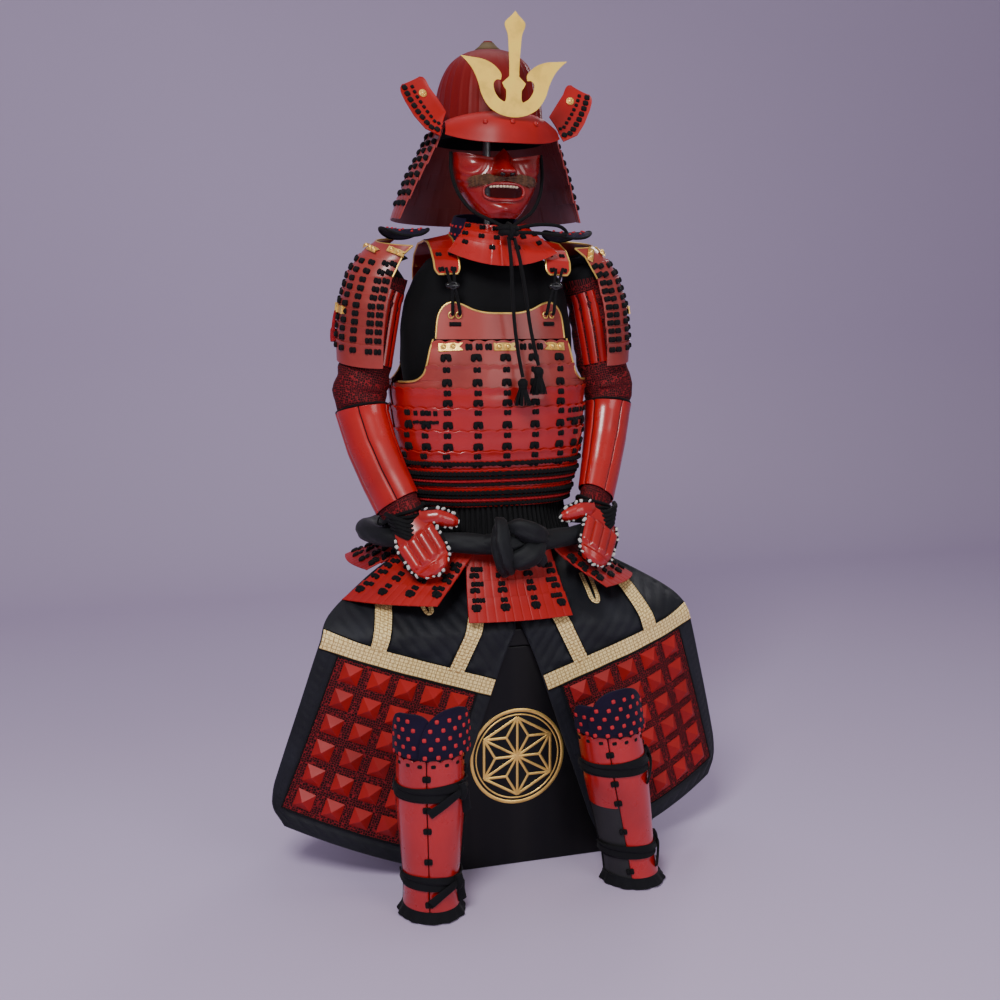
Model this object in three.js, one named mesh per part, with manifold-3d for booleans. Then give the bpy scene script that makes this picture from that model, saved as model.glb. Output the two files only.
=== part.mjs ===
// Samurai armour sitting on its armour box, with the plain form that holds it up.
// Millimetres, +Z up, the armour faces -Y and the wearer's left is +X.
import * as THREE from 'three';
import { mergeVertices } from 'three/addons/utils/BufferGeometryUtils.js';
import Module from 'manifold-3d';

const wasm = await Module();
wasm.setup();

// ---------------------------------------------------------------- driving dimensions
const CENTRE_Y = 82.5;         // moves the armour's own axis so that the whole stands over the origin
const GAP = 0.4;              // clearance between pieces that touch
const LACQUER_STEP = 1.1;     // how far the top edge of a lame stands off the smooth wall
const LACQUER_WALL = 1.8;     // least thickness of a laced wall
const CLOTH = 2;              // thickness of a cloth wall
const BOX = { width: 404, depth: 400, front: -205, height: 452, wall: 12, lid: 36, rim: 4 };
const CUIRASS = { top: 1047, bottom: 716, armhole: 966, square: 2.5, side: 88 };
const BOWL = { base: 1455, height: 155, rx: 107, ry: 124, cy: -10, wall: 3, tehen: 13 };
const SHIN = { height: 310, flap: 106, wall: 3, gape: 62 };

const LACQUER_RED = 0xa11412;
const MUTED_RED = 0x8a2420;
const BLACK = 0x0c0c0e;
const NAVY = 0x14122a;
const GOLD = 0xc9a24a;
const BROCADE_RED = 0x3a0f12;
const BROCADE_GOLD = 0xb79a63;

// Sections of the torso armour: half width and the depths in front and behind, by height.
const TORSO_SECTIONS = [
  { z: 1180, rx: 166, front: 98, back: 112 },
  { z: 1118, rx: 188, front: 108, back: 122 },
  { z: 1047, rx: 199, front: 117, back: 130 },
  { z: 1001, rx: 201, front: 130, back: 134 },
  { z: 931, rx: 202, front: 139, back: 136 },
  { z: 850, rx: 197, front: 138, back: 132 },
  { z: 796, rx: 187, front: 131, back: 124 },
  { z: 751, rx: 174, front: 124, back: 116 },
  { z: 700, rx: 162, front: 117, back: 108 },
];

// Top edges of the torso lames; the lowest two are laced closely.
const TORSO_LAMES = [1047, 1001, 956, 918, 873, 832, 796, 756, 716];

// Sections of the stand: a smooth chest on a post, and a thin post up into the helmet.
const FORM_SECTIONS = [
  { z: 489, rx: 62, ry: 62, cy: 0 },
  { z: 497, rx: 62, ry: 62, cy: 0 },
  { z: 498, rx: 20, ry: 20, cy: 0 },
  { z: 928, rx: 20, ry: 20, cy: 0 },
  { z: 930, rx: 130, ry: 74, cy: 0 },
  { z: 942, rx: 172, ry: 98, cy: 0 },
  { z: 1010, rx: 182, ry: 104, cy: 0 },
  { z: 1070, rx: 180, ry: 103, cy: 0 },
  { z: 1130, rx: 170, ry: 98, cy: 2 },
  { z: 1175, rx: 150, ry: 88, cy: 3 },
  { z: 1205, rx: 124, ry: 74, cy: 4 },
  { z: 1226, rx: 88, ry: 58, cy: 5 },
  { z: 1242, rx: 56, ry: 48, cy: 5 },
  { z: 1268, rx: 46, ry: 44, cy: 4 },
  { z: 1270, rx: 8, ry: 8, cy: 0 },
  { z: 1562, rx: 8, ry: 8, cy: 0 },
  { z: 1588, rx: 44, ry: 44, cy: 0 },
  { z: 1592, rx: 44, ry: 44, cy: 0 },
];

// The line of the wearer's left arm; the cloth round it is oval, widest towards the body's front.
const ARM = [
  { x: 214, y: 6, z: 1172, r: 50, flat: 1 },
  { x: 229, y: 6, z: 1130, r: 51, flat: 1 },
  { x: 242, y: 4, z: 1070, r: 53, flat: 1 },
  { x: 252, y: 0, z: 1000, r: 50, flat: 1 },
  { x: 267, y: -4, z: 945, r: 55, flat: 0.96 },
  { x: 264, y: -9, z: 914, r: 51, flat: 0.88 },
  { x: 262, y: -14, z: 895, r: 48, flat: 0.85 },
  { x: 250, y: -32, z: 840, r: 47, flat: 0.78 },
  { x: 231, y: -58, z: 780, r: 45, flat: 0.7 },
  { x: 211, y: -84, z: 728, r: 44, flat: 0.62 },
  { x: 199, y: -96, z: 702, r: 45, flat: 0.66 },
];
const ARM_OVAL = 135;         // degrees from straight outwards to the oval's long axis

// ---------------------------------------------------------------- small helpers
const point = (x, y, z) => new THREE.Vector3(x, y, z);
const mix = THREE.MathUtils.lerp;
const turn = THREE.MathUtils.degToRad;
const clamp = THREE.MathUtils.clamp;
const spread = (from, to, steps) => Array.from({ length: steps + 1 }, (_, k) => mix(from, to, k / steps));
const power = (value, exponent) => Math.sign(value) * Math.abs(value) ** exponent;

// Value of one column of a table of rows, between the rows either side of `at`.
function column(rows, key, at, along = 'z') {
  const rising = rows[0][along] < rows.at(-1)[along] ? rows : [...rows].reverse();
  if (at <= rising[0][along]) return rising[0][key];
  for (let k = 1; k < rising.length; k += 1) {
    if (at <= rising[k][along]) {
      const low = rising[k - 1];
      const share = (at - low[along]) / (rising[k][along] - low[along]);
      return mix(low[key], rising[k][key], share);
    }
  }
  return rising.at(-1)[key];
}

// A closed body from points and triangles, turned to face outwards.
function body(points, faces) {
  const volume = faces.reduce((sum, [a, b, c]) => (
    sum + points[a].dot(point(0, 0, 0).crossVectors(points[b], points[c]))), 0);
  const facing = volume < 0 ? faces.map(([a, b, c]) => [a, c, b]) : faces;
  const geometry = new THREE.BufferGeometry();
  geometry.setAttribute('position', new THREE.Float32BufferAttribute(points.flatMap((p) => p.toArray()), 3));
  geometry.setIndex(facing.flat());
  return geometry;
}

// Triangles between two edges that may have different numbers of points.
function zip(first, second, faces) {
  const steps = [first.length - 1, second.length - 1];
  let i = 0;
  let j = 0;
  while (i < steps[0] || j < steps[1]) {
    if ((i + 1) / steps[0] <= (j + 1) / steps[1] + 1e-9) {
      faces.push([first[i], first[i + 1], second[j]]);
      i += 1;
    } else {
      faces.push([first[i], second[j + 1], second[j]]);
      j += 1;
    }
  }
}

// A wall between an outer and an inner grid of points; ringed walls close on themselves.
function wall(outer, inner, ringed = false) {
  const points = [...outer.flat(), ...inner.flat()];
  const faces = [];
  const indexed = (grid, start) => grid.map((row, r) => {
    const numbers = row.map((_, c) => start + r * row.length + c);
    return ringed ? [...numbers, numbers[0]] : numbers;
  });
  const out = indexed(outer, 0);
  const back = indexed(inner, outer.flat().length);
  const skinFaces = (grid, flip) => {
    for (let r = 0; r + 1 < grid.length; r += 1) {
      for (let c = 0; c + 1 < grid[r].length; c += 1) {
        const [a, b, d, e] = [grid[r][c], grid[r + 1][c], grid[r + 1][c + 1], grid[r][c + 1]];
        faces.push(flip ? [a, d, b] : [a, b, d], flip ? [a, e, d] : [a, d, e]);
      }
    }
  };
  skinFaces(out, false);
  skinFaces(back, true);
  zip(out[0], back[0], faces);
  zip([...out.at(-1)].reverse(), [...back.at(-1)].reverse(), faces);
  if (!ringed) {
    const edge = (grid, c) => grid.map((row) => row.at(c));
    zip(edge(out, 0).reverse(), edge(back, 0).reverse(), faces);
    zip(edge(out, -1), edge(back, -1), faces);
  }
  return body(points, faces);
}

// A solid through closed rings of equal length, capped at both ends.
function solid(rings) {
  const size = rings[0].length;
  const points = rings.flat();
  const faces = [];
  for (let r = 0; r + 1 < rings.length; r += 1) {
    for (let c = 0; c < size; c += 1) {
      const next = (c + 1) % size;
      const [a, b, d, e] = [r * size + c, (r + 1) * size + c, (r + 1) * size + next, r * size + next];
      faces.push([a, b, d], [a, d, e]);
    }
  }
  [0, rings.length - 1].forEach((r) => {
    const middle = rings[r].reduce((sum, p) => sum.add(p), point(0, 0, 0)).divideScalar(size);
    const centre = points.push(middle) - 1;
    for (let c = 0; c < size; c += 1) {
      const pair = [r * size + c, r * size + ((c + 1) % size)];
      faces.push(r === 0 ? [pair[0], pair[1], centre] : [pair[1], pair[0], centre]);
    }
  });
  return body(points, faces);
}

// A surface with a lift: surface(v, c) is moved out along its normal, away from core(v, c).
function skin(surface, core) {
  const step = 1e-3;
  return (v, c, lift = 0) => {
    const at = surface(v, c);
    const down = surface(v + step, c).sub(surface(v - step, c));
    const across = surface(v, c + step).sub(surface(v, c - step));
    const normal = down.cross(across).normalize();
    if (normal.dot(point(0, 0, 0).subVectors(at, core(v, c))) < 0) normal.negate();
    return at.addScaledVector(normal, lift);
  };
}

const grid = (surface, rows, columns, lift) => (
  rows.map((v) => columns.map((c) => surface(v, c, lift))));

// A plain wall on a surface: its outer face is lifted by `lift`, its inner lies `thick` below.
function panel(surface, rows, columns, lift, thick, ringed = false) {
  return wall(grid(surface, rows, columns, lift), grid(surface, rows, columns, lift - thick), ringed);
}

// A wall of overlapping lames: each lame stands proud at its top edge and sinks to its lower edge.
function lames(surface, edges, columns, ringed = false, step = LACQUER_STEP) {
  const ledge = 0.02 * Math.abs(edges.at(-1) - edges[0]) / (edges.length - 1);
  const down = Math.sign(edges.at(-1) - edges[0]);
  const outer = [];
  for (let k = 0; k + 1 < edges.length; k += 1) {
    outer.push(columns.map((c) => surface(edges[k] + down * ledge, c, step)));
    outer.push(columns.map((c) => surface(edges[k + 1] - down * ledge, c, -step)));
  }
  const rows = edges.map((v, k) => v + (k === 0 ? ledge : 0) * down - (k === edges.length - 1 ? ledge : 0) * down);
  return wall(outer, grid(surface, rows, columns, -step - LACQUER_WALL), ringed);
}

// A round bar along a curve.
function bar(points, radius, sides, steps, closed = false) {
  const curve = new THREE.CatmullRomCurve3(points, closed, 'centripetal');
  const section = new THREE.Shape();
  for (let k = 0; k < sides; k += 1) {
    const angle = (2 * Math.PI * k) / sides;
    section[k === 0 ? 'moveTo' : 'lineTo'](radius * Math.cos(angle), radius * Math.sin(angle));
  }
  section.closePath();
  return new THREE.ExtrudeGeometry(section, { steps, extrudePath: curve, curveSegments: 1 });
}

// Joins and cuts of closed bodies.
function toManifold(geometry) {
  const plain = geometry.clone();
  plain.deleteAttribute('normal');
  plain.deleteAttribute('uv');
  const merged = mergeVertices(plain, 1e-4);
  return new wasm.Manifold(new wasm.Mesh({
    numProp: 3,
    vertProperties: new Float32Array(merged.attributes.position.array),
    triVerts: new Uint32Array(merged.index.array),
  }));
}

function fromManifold(shape) {
  const mesh = shape.getMesh();
  const geometry = new THREE.BufferGeometry();
  geometry.setAttribute('position', new THREE.BufferAttribute(new Float32Array(mesh.vertProperties), 3));
  geometry.setIndex(new THREE.BufferAttribute(new Uint32Array(mesh.triVerts), 1));
  return geometry;
}

const cut = (geometry, tool) => fromManifold(toManifold(geometry).subtract(toManifold(tool)));
const common = (geometry, tool) => fromManifold(toManifold(geometry).intersect(toManifold(tool)));
const join = (...geometries) => fromManifold(
  geometries.map(toManifold).reduce((whole, next) => whole.add(next)));

// An upright prism: an outline in X and Z, drawn from one Y to another.
function prismAlongY(outline, from, to) {
  const shape = new THREE.Shape(outline.map(([x, z]) => new THREE.Vector2(x, z)));
  const geometry = new THREE.ExtrudeGeometry(shape, { depth: Math.abs(to - from), bevelEnabled: false });
  geometry.rotateX(Math.PI / 2);
  geometry.translate(0, Math.max(from, to), 0);
  return geometry;
}

function mirrored(geometry) {
  const copy = geometry.clone();
  const places = copy.attributes.position;
  for (let k = 0; k < places.count; k += 1) places.setX(k, -places.getX(k));
  if (!copy.index) {
    copy.setIndex([...Array(places.count).keys()]);
  }
  const corners = [...copy.index.array];
  for (let k = 0; k < corners.length; k += 3) [corners[k + 1], corners[k + 2]] = [corners[k + 2], corners[k + 1]];
  copy.setIndex(corners);
  return copy;
}

const armour = new THREE.Group();
const placed = new THREE.Group();
placed.position.y = CENTRE_Y;
armour.add(placed);

function add(name, geometry, colour, roughness = 0.35, metalness = 0) {
  geometry.deleteAttribute('uv');
  geometry.computeVertexNormals();
  const mesh = new THREE.Mesh(geometry, new THREE.MeshStandardMaterial({ color: colour, roughness, metalness }));
  mesh.name = name;
  placed.add(mesh);
  return mesh;
}

// The wearer's left piece as drawn, and its mirror image on the right.
function addPair(name, geometry, colour, roughness, metalness) {
  add(`${name}_left`, geometry, colour, roughness, metalness);
  add(`${name}_right`, mirrored(geometry), colour, roughness, metalness);
}

// ---------------------------------------------------------------- armour box and stand
function makeBox() {
  const { width, depth, front, height, wall: side, lid, rim } = BOX;
  const centre = front + depth / 2;
  const block = (w, d, h, z) => new THREE.BoxGeometry(w, d, h).translate(0, centre, z + h / 2);
  const trunk = cut(block(width, depth, height, 0), block(width - 2 * side, depth - 2 * side, height, side));
  add('armour_box', trunk, BLACK, 0.3);
  const top = height + GAP;
  const cap = cut(
    block(width + 2 * rim, depth + 2 * rim, lid, top),
    block(width - 2 * side, depth - 2 * side, lid - side, top - 0.01));
  add('box_lid', cap, BLACK, 0.3);
}

function makeStand() {
  const sides = 14;
  const rings = FORM_SECTIONS.map(({ z, rx, ry, cy }) => Array.from({ length: sides }, (_, k) => {
    const angle = (2 * Math.PI * k) / sides;
    return point(rx * power(Math.sin(angle), 0.9), cy - ry * power(Math.cos(angle), 0.9), z);
  }));
  add('stand_form', solid(rings), BLACK, 0.8);
}

// ---------------------------------------------------------------- torso armour
// Torso surface by height and angle from the front, in degrees.
function torso(z, angle) {
  const rx = column(TORSO_SECTIONS, 'rx', z);
  const along = Math.cos(turn(angle));
  const depth = column(TORSO_SECTIONS, along > 0 ? 'front' : 'back', z);
  const exponent = 2 / CUIRASS.square;
  return point(rx * power(Math.sin(turn(angle)), exponent), -depth * power(along, exponent), z);
}
const torsoSkin = skin(torso, (z) => point(0, 0, z));

// Half of an opening's edge, by height; the prism round it keeps what is nearer the middle.
const FRONT_EDGE = [
  { x: 137, z: 1060 },
  { x: 138, z: 1049 },
  { x: 145, z: 1028 },
  { x: 152, z: 1000 },
  { x: 158, z: 982 },
  { x: 170, z: 970 },
  { x: 184, z: CUIRASS.armhole },
];
const BREAST_EDGE = [
  { x: 0, z: 1099 },
  { x: 34, z: 1100 },
  { x: 60, z: 1106 },
  { x: 82, z: 1116 },
  { x: 98, z: 1120 },
  { x: 112, z: 1116 },
  { x: 123, z: 1103 },
  { x: 129, z: 1085 },
  { x: 133, z: 1050 },
];
const BACK_EDGE = [
  { x: 0, z: 1164 },
  { x: 74, z: 1166 },
  { x: 108, z: 1160 },
  { x: 126, z: 1140 },
  { x: 140, z: 1090 },
  { x: 150, z: 1020 },
  { x: 164, z: 984 },
  { x: 184, z: CUIRASS.armhole },
];

function outlineBelow(edge, low) {
  const half = edge.map(({ x, z }) => [x, z]);
  const wide = 260;
  const right = [...half, ...(half.at(-1)[0] > 150 ? [[wide, half.at(-1)[1]], [wide, low]] : [[half.at(-1)[0], low]])];
  const left = right.filter(([x]) => x > 0).map(([x, z]) => [-x, z]).reverse();
  return [...left, ...right];
}

function makeCuirass() {
  const front = lames(torsoSkin, TORSO_LAMES, spread(-CUIRASS.side, CUIRASS.side, 12));
  add('cuirass_front', common(front, prismAlongY(outlineBelow(FRONT_EDGE, 600), -200, 10)), LACQUER_RED);
  const plate = panel(torsoSkin, [1124, 1084, CUIRASS.top + GAP], spread(-42, 42, 8), 0, 3);
  add('breast_plate', common(plate, prismAlongY(outlineBelow(BREAST_EDGE, 1040), -200, 0)), LACQUER_RED);
  const backLames = [1170, 1108, ...TORSO_LAMES];
  const back = lames(torsoSkin, backLames, spread(180 - CUIRASS.side, 180 + CUIRASS.side, 12));
  add('cuirass_back', common(back, prismAlongY(outlineBelow(BACK_EDGE, 600), -10, 200)), LACQUER_RED);
}

// Laces that hang the tassets from the cuirass, as one soft wall round the waist.
const WAIST_SECTIONS = [
  { z: CUIRASS.bottom - GAP, rx: 160, front: 116, back: 107 },
  { z: 676, rx: 166, front: 128, back: 114 },
  { z: 638, rx: 178, front: 146, back: 122 },
];

function makeWaist() {
  const waist = skin((z, angle) => {
    const along = Math.cos(turn(angle));
    return point(
      column(WAIST_SECTIONS, 'rx', z) * Math.sin(turn(angle)),
      -column(WAIST_SECTIONS, along > 0 ? 'front' : 'back', z) * along, z);
  }, (z) => point(0, 0, z));
  const rows = WAIST_SECTIONS.map(({ z }) => z);
  add('waist_lacing', panel(waist, rows, spread(0, 360, 16).slice(0, -1), 0, 3, true), BLACK, 0.9);
}

// ---------------------------------------------------------------- straps, collar and wings
const STRAP = [
  { y: -117, z: 1174, x: 113 },
  { y: -109, z: 1200, x: 114 },
  { y: -86, z: 1224, x: 114 },
  { y: -54, z: 1241, x: 112 },
  { y: -10, z: 1250, x: 108 },
  { y: 50, z: 1244, x: 106 },
  { y: 92, z: 1222, x: 104 },
  { y: 113, z: 1196, x: 102 },
  { y: 122, z: 1170, x: 100 },
];

function makeShoulders() {
  const half = 25;
  const path = (v) => {
    const k = clamp(Math.floor(v), 0, STRAP.length - 2);
    const [low, high] = [STRAP[k], STRAP[k + 1]];
    return ['x', 'y', 'z'].map((key) => mix(low[key], high[key], v - k));
  };
  const strap = skin((v, c) => {
    const [x, y, z] = path(v);
    const droop = 10 * (c * half / 40) * Math.max(0, 1 - Math.abs(y) / 130);
    return point(x + c * half, y, z - droop);
  }, () => point(100, 0, 1100));
  addPair('shoulder_strap', panel(strap, spread(0, STRAP.length - 1, 8), [-1, 1], 0, 4), LACQUER_RED);

  // Standing collar, open at the front.
  const collar = skin((v, angle) => {
    const r = mix(66, 58, v);
    return point(r * 1.12 * Math.sin(turn(angle)), 8 + r * Math.cos(turn(angle)), mix(1246, 1292, v) + 10 * Math.cos(turn(angle)));
  }, () => point(0, 8, 1260));
  add('collar', panel(collar, [0, 1], spread(-128, 128, 12), 0, 5), NAVY, 0.9);

  // Leaf-shaped pads that ride on the shoulder, raised at the outer edge.
  const sides = 12;
  const leaf = (lift, shrink) => Array.from({ length: sides }, (_, k) => {
    const angle = (2 * Math.PI * k) / sides;
    const across = 42 * shrink * Math.sin(angle);
    const x = 172 + 50 * shrink * power(Math.cos(angle), 0.8);
    return point(x, -2 + across * 1.4, 1261 + 0.002 * (x - 170) ** 2 - 0.008 * across ** 2 + lift);
  });
  const wing = solid([leaf(-3, 0.9), leaf(0, 1), leaf(3, 0.9)]);
  addPair('shoulder_wing', wing, NAVY, 0.9);

  // Toggles between the straps and the breastplate.
  const toggle = new THREE.CapsuleGeometry(6, 22, 2, 6).rotateZ(Math.PI / 2).translate(105, -120, 1152);
  addPair('toggle', toggle, BLACK, 0.2);
}

// ---------------------------------------------------------------- sash and tassets
const SASH = { rx: 256, front: 184, back: 160, z: 656, r: 21 };

function makeSash() {
  const ring = Array.from({ length: 16 }, (_, k) => {
    const angle = (2 * Math.PI * k) / 16;
    const depth = Math.cos(angle) > 0 ? SASH.front : SASH.back;
    return point(SASH.rx * Math.sin(angle), -depth * Math.cos(angle), SASH.z + 6 * Math.sin(angle) ** 2);
  });
  // The knot covers the gap between the two ends at the front.
  const open = ring.slice(1);
  const ends = [point(56, -SASH.front - 1, SASH.z), ...open, point(-56, -SASH.front - 1, SASH.z)];
  add('sash', bar(ends, SASH.r, 8, 24), BLACK, 0.85);
  const sides = 12;
  const lump = [
    { x: -48, ry: 15, rz: 24, z: 657 },
    { x: -34, ry: 24, rz: 38, z: 656 },
    { x: -14, ry: 30, rz: 46, z: 655 },
    { x: 8, ry: 29, rz: 45, z: 656 },
    { x: 30, ry: 24, rz: 40, z: 658 },
    { x: 48, ry: 14, rz: 26, z: 662 },
  ];
  const rings = lump.map(({ x, ry, rz, z }) => Array.from({ length: sides }, (_, k) => {
    const angle = (2 * Math.PI * k) / sides;
    return point(x, -SASH.front - 8 + ry * Math.cos(angle), z + rz * Math.sin(angle));
  }));
  add('sash_knot', solid(rings), BLACK, 0.85);
}

// Each tasset: middle of its top and bottom edges, the way it faces, its widths.
const TASSETS = [
  { name: 'front', x0: 0, y0: -156, z0: 632, x1: 0, y1: -240, z1: 514, face: 0, top: 176, low: 214 },
  { name: 'front_left', x0: 140, y0: -122, z0: 634, x1: 241, y1: -170, z1: 563, face: 47, top: 128, low: 148 },
  { name: 'front_right', x0: -142, y0: -122, z0: 634, x1: -256, y1: -184, z1: 552, face: -35, top: 150, low: 198 },
  { name: 'side', x0: 192, y0: 14, z0: 636, x1: 280, y1: 52, z1: 590, face: 87, top: 140, low: 176, paired: true },
  { name: 'back', x0: 90, y0: 126, z0: 632, x1: 138, y1: 214, z1: 520, face: 156, top: 160, low: 190, paired: true },
];

function makeTassets() {
  TASSETS.forEach((row) => {
    const out = point(Math.sin(turn(row.face)), -Math.cos(turn(row.face)), 0);
    const side = point(Math.cos(turn(row.face)), Math.sin(turn(row.face)), 0);
    const surface = skin((v, c) => {
      const width = mix(row.top, row.low, v) / 2;
      const at = point(mix(row.x0, row.x1, v), mix(row.y0, row.y1, v), mix(row.z0, row.z1, v));
      const flare = -14 * Math.sin(Math.PI * clamp(v, 0, 1));
      at.addScaledVector(side, c * width).addScaledVector(out, 14 * (0.4 - c * c) + flare * 0.5);
      return at;
    }, () => point(0, 0, 500));
    const geometry = lames(surface, [0, 0.22, 0.42, 0.64, 1], spread(-1, 1, 6));
    if (row.paired) addPair(`tasset_${row.name}`, geometry, LACQUER_RED);
    else add(`tasset_${row.name}`, geometry, LACQUER_RED);
  });
}

// ---------------------------------------------------------------- arms
function armAt(z) {
  return { x: column(ARM, 'x', z), y: column(ARM, 'y', z), r: column(ARM, 'r', z), flat: column(ARM, 'flat', z) };
}

// Surface round the arm by height and angle, `grow` wider than the cloth.
function armSurface(grow) {
  return (z, angle) => {
    const { x, y, r, flat } = armAt(z);
    const below = armAt(z - 8);
    const above = armAt(z + 8);
    const tangent = point(below.x - above.x, below.y - above.y, -16).normalize();
    const across = point(1, 0, 0).addScaledVector(tangent, -tangent.x).normalize();
    const forward = point(0, 0, 0).crossVectors(tangent, across);
    const long = across.clone().applyAxisAngle(tangent, turn(ARM_OVAL));
    const short = forward.clone().applyAxisAngle(tangent, turn(ARM_OVAL));
    return point(x, y, z)
      .addScaledVector(long, (r + grow) * Math.cos(turn(angle)))
      .addScaledVector(short, (r * flat + grow) * Math.sin(turn(angle)));
  };
}
const armCore = (z) => point(armAt(z).x, armAt(z).y, z);

function makeArms() {
  const ringColumns = spread(0, 360, 12).slice(0, -1);
  const sleeve = skin(armSurface(0), armCore);
  const heights = [1172, 1130, 1070, 1000, 945, 914, 895, 840, 780, 728, 702];
  addPair('sleeve', panel(sleeve, heights, ringColumns, 0, CLOTH, true), BROCADE_RED, 0.9);
  const plate = skin(armSurface(4), armCore);
  addPair('forearm_guard', panel(plate, [910, 895, 840, 780, 728], ringColumns, 0, 2.2, true), LACQUER_RED, 0.25);

  // Shoulder guard: an arc round the upper arm, its rows leaning down towards the front.
  const rows = [
    { z: 1238, out: 226, r: 62 },
    { z: 1222, out: 252, r: 68 },
    { z: 1180, out: 283, r: 76 },
    { z: 1125, out: 301, r: 80 },
    { z: 1060, out: 309, r: 82 },
    { z: 1000, out: 311, r: 82 },
  ];
  const guard = skin((z, angle) => {
    const r = column(rows, 'r', z);
    const x = column(rows, 'out', z) - r + r * Math.cos(turn(angle));
    const y = 2 + r * Math.sin(turn(angle));
    return point(x, y, z + 0.16 * y);
  }, (z) => point(200, 0, z));
  const edges = [1238, 1212, 1180, 1148, 1116, 1084, 1050, 1005];
  addPair('shoulder_guard', lames(guard, edges, spread(-86, 80, 7)), MUTED_RED);

  // Hand guard: an arched plate down over the knuckles, with a thumb plate beside the wrist.
  const shield = (rows, across, arch) => skin((v, c) => {
    const [x, y, z, w] = ['x', 'y', 'z', 'w'].map((key) => column(rows, key, v, 'v'));
    return point(x, y + arch * c * c, z).addScaledVector(across, w * c);
  }, () => point(190, -20, 640));
  const back = shield([
    { v: 0, x: 202, y: -150, z: 698, w: 34 },
    { v: 0.3, x: 192, y: -171, z: 671, w: 43 },
    { v: 0.7, x: 170, y: -195, z: 630, w: 41 },
    { v: 1, x: 156, y: -204, z: 607, w: 27 },
  ], point(-0.8, -0.05, 0.58).normalize(), 10);
  const thumb = shield([
    { v: 0, x: 184, y: -152, z: 704, w: 18 },
    { v: 0.5, x: 146, y: -166, z: 708, w: 18 },
    { v: 1, x: 108, y: -162, z: 697, w: 12 },
  ], point(-0.1, -0.1, 1).normalize(), 8);
  const guardPlate = join(
    panel(back, [0, 0.3, 0.7, 1], spread(-1, 1, 5), 0, 3),
    panel(thumb, [0, 0.5, 1], spread(-1, 1, 3), 0, 3));
  addPair('hand_guard', guardPlate, LACQUER_RED, 0.25);
}

// ---------------------------------------------------------------- helmet
function bowlAt(rise, angle, grow = 0) {
  const share = clamp(rise, 0, 1);
  const r = (1 - 0.07 * share) * (1 - share ** 2.9) ** (1 / 2.9);
  return point(
    (BOWL.rx * r + grow) * Math.sin(turn(angle)),
    BOWL.cy - (BOWL.ry * r + grow) * Math.cos(turn(angle)),
    BOWL.base + BOWL.height * rise);
}

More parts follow.
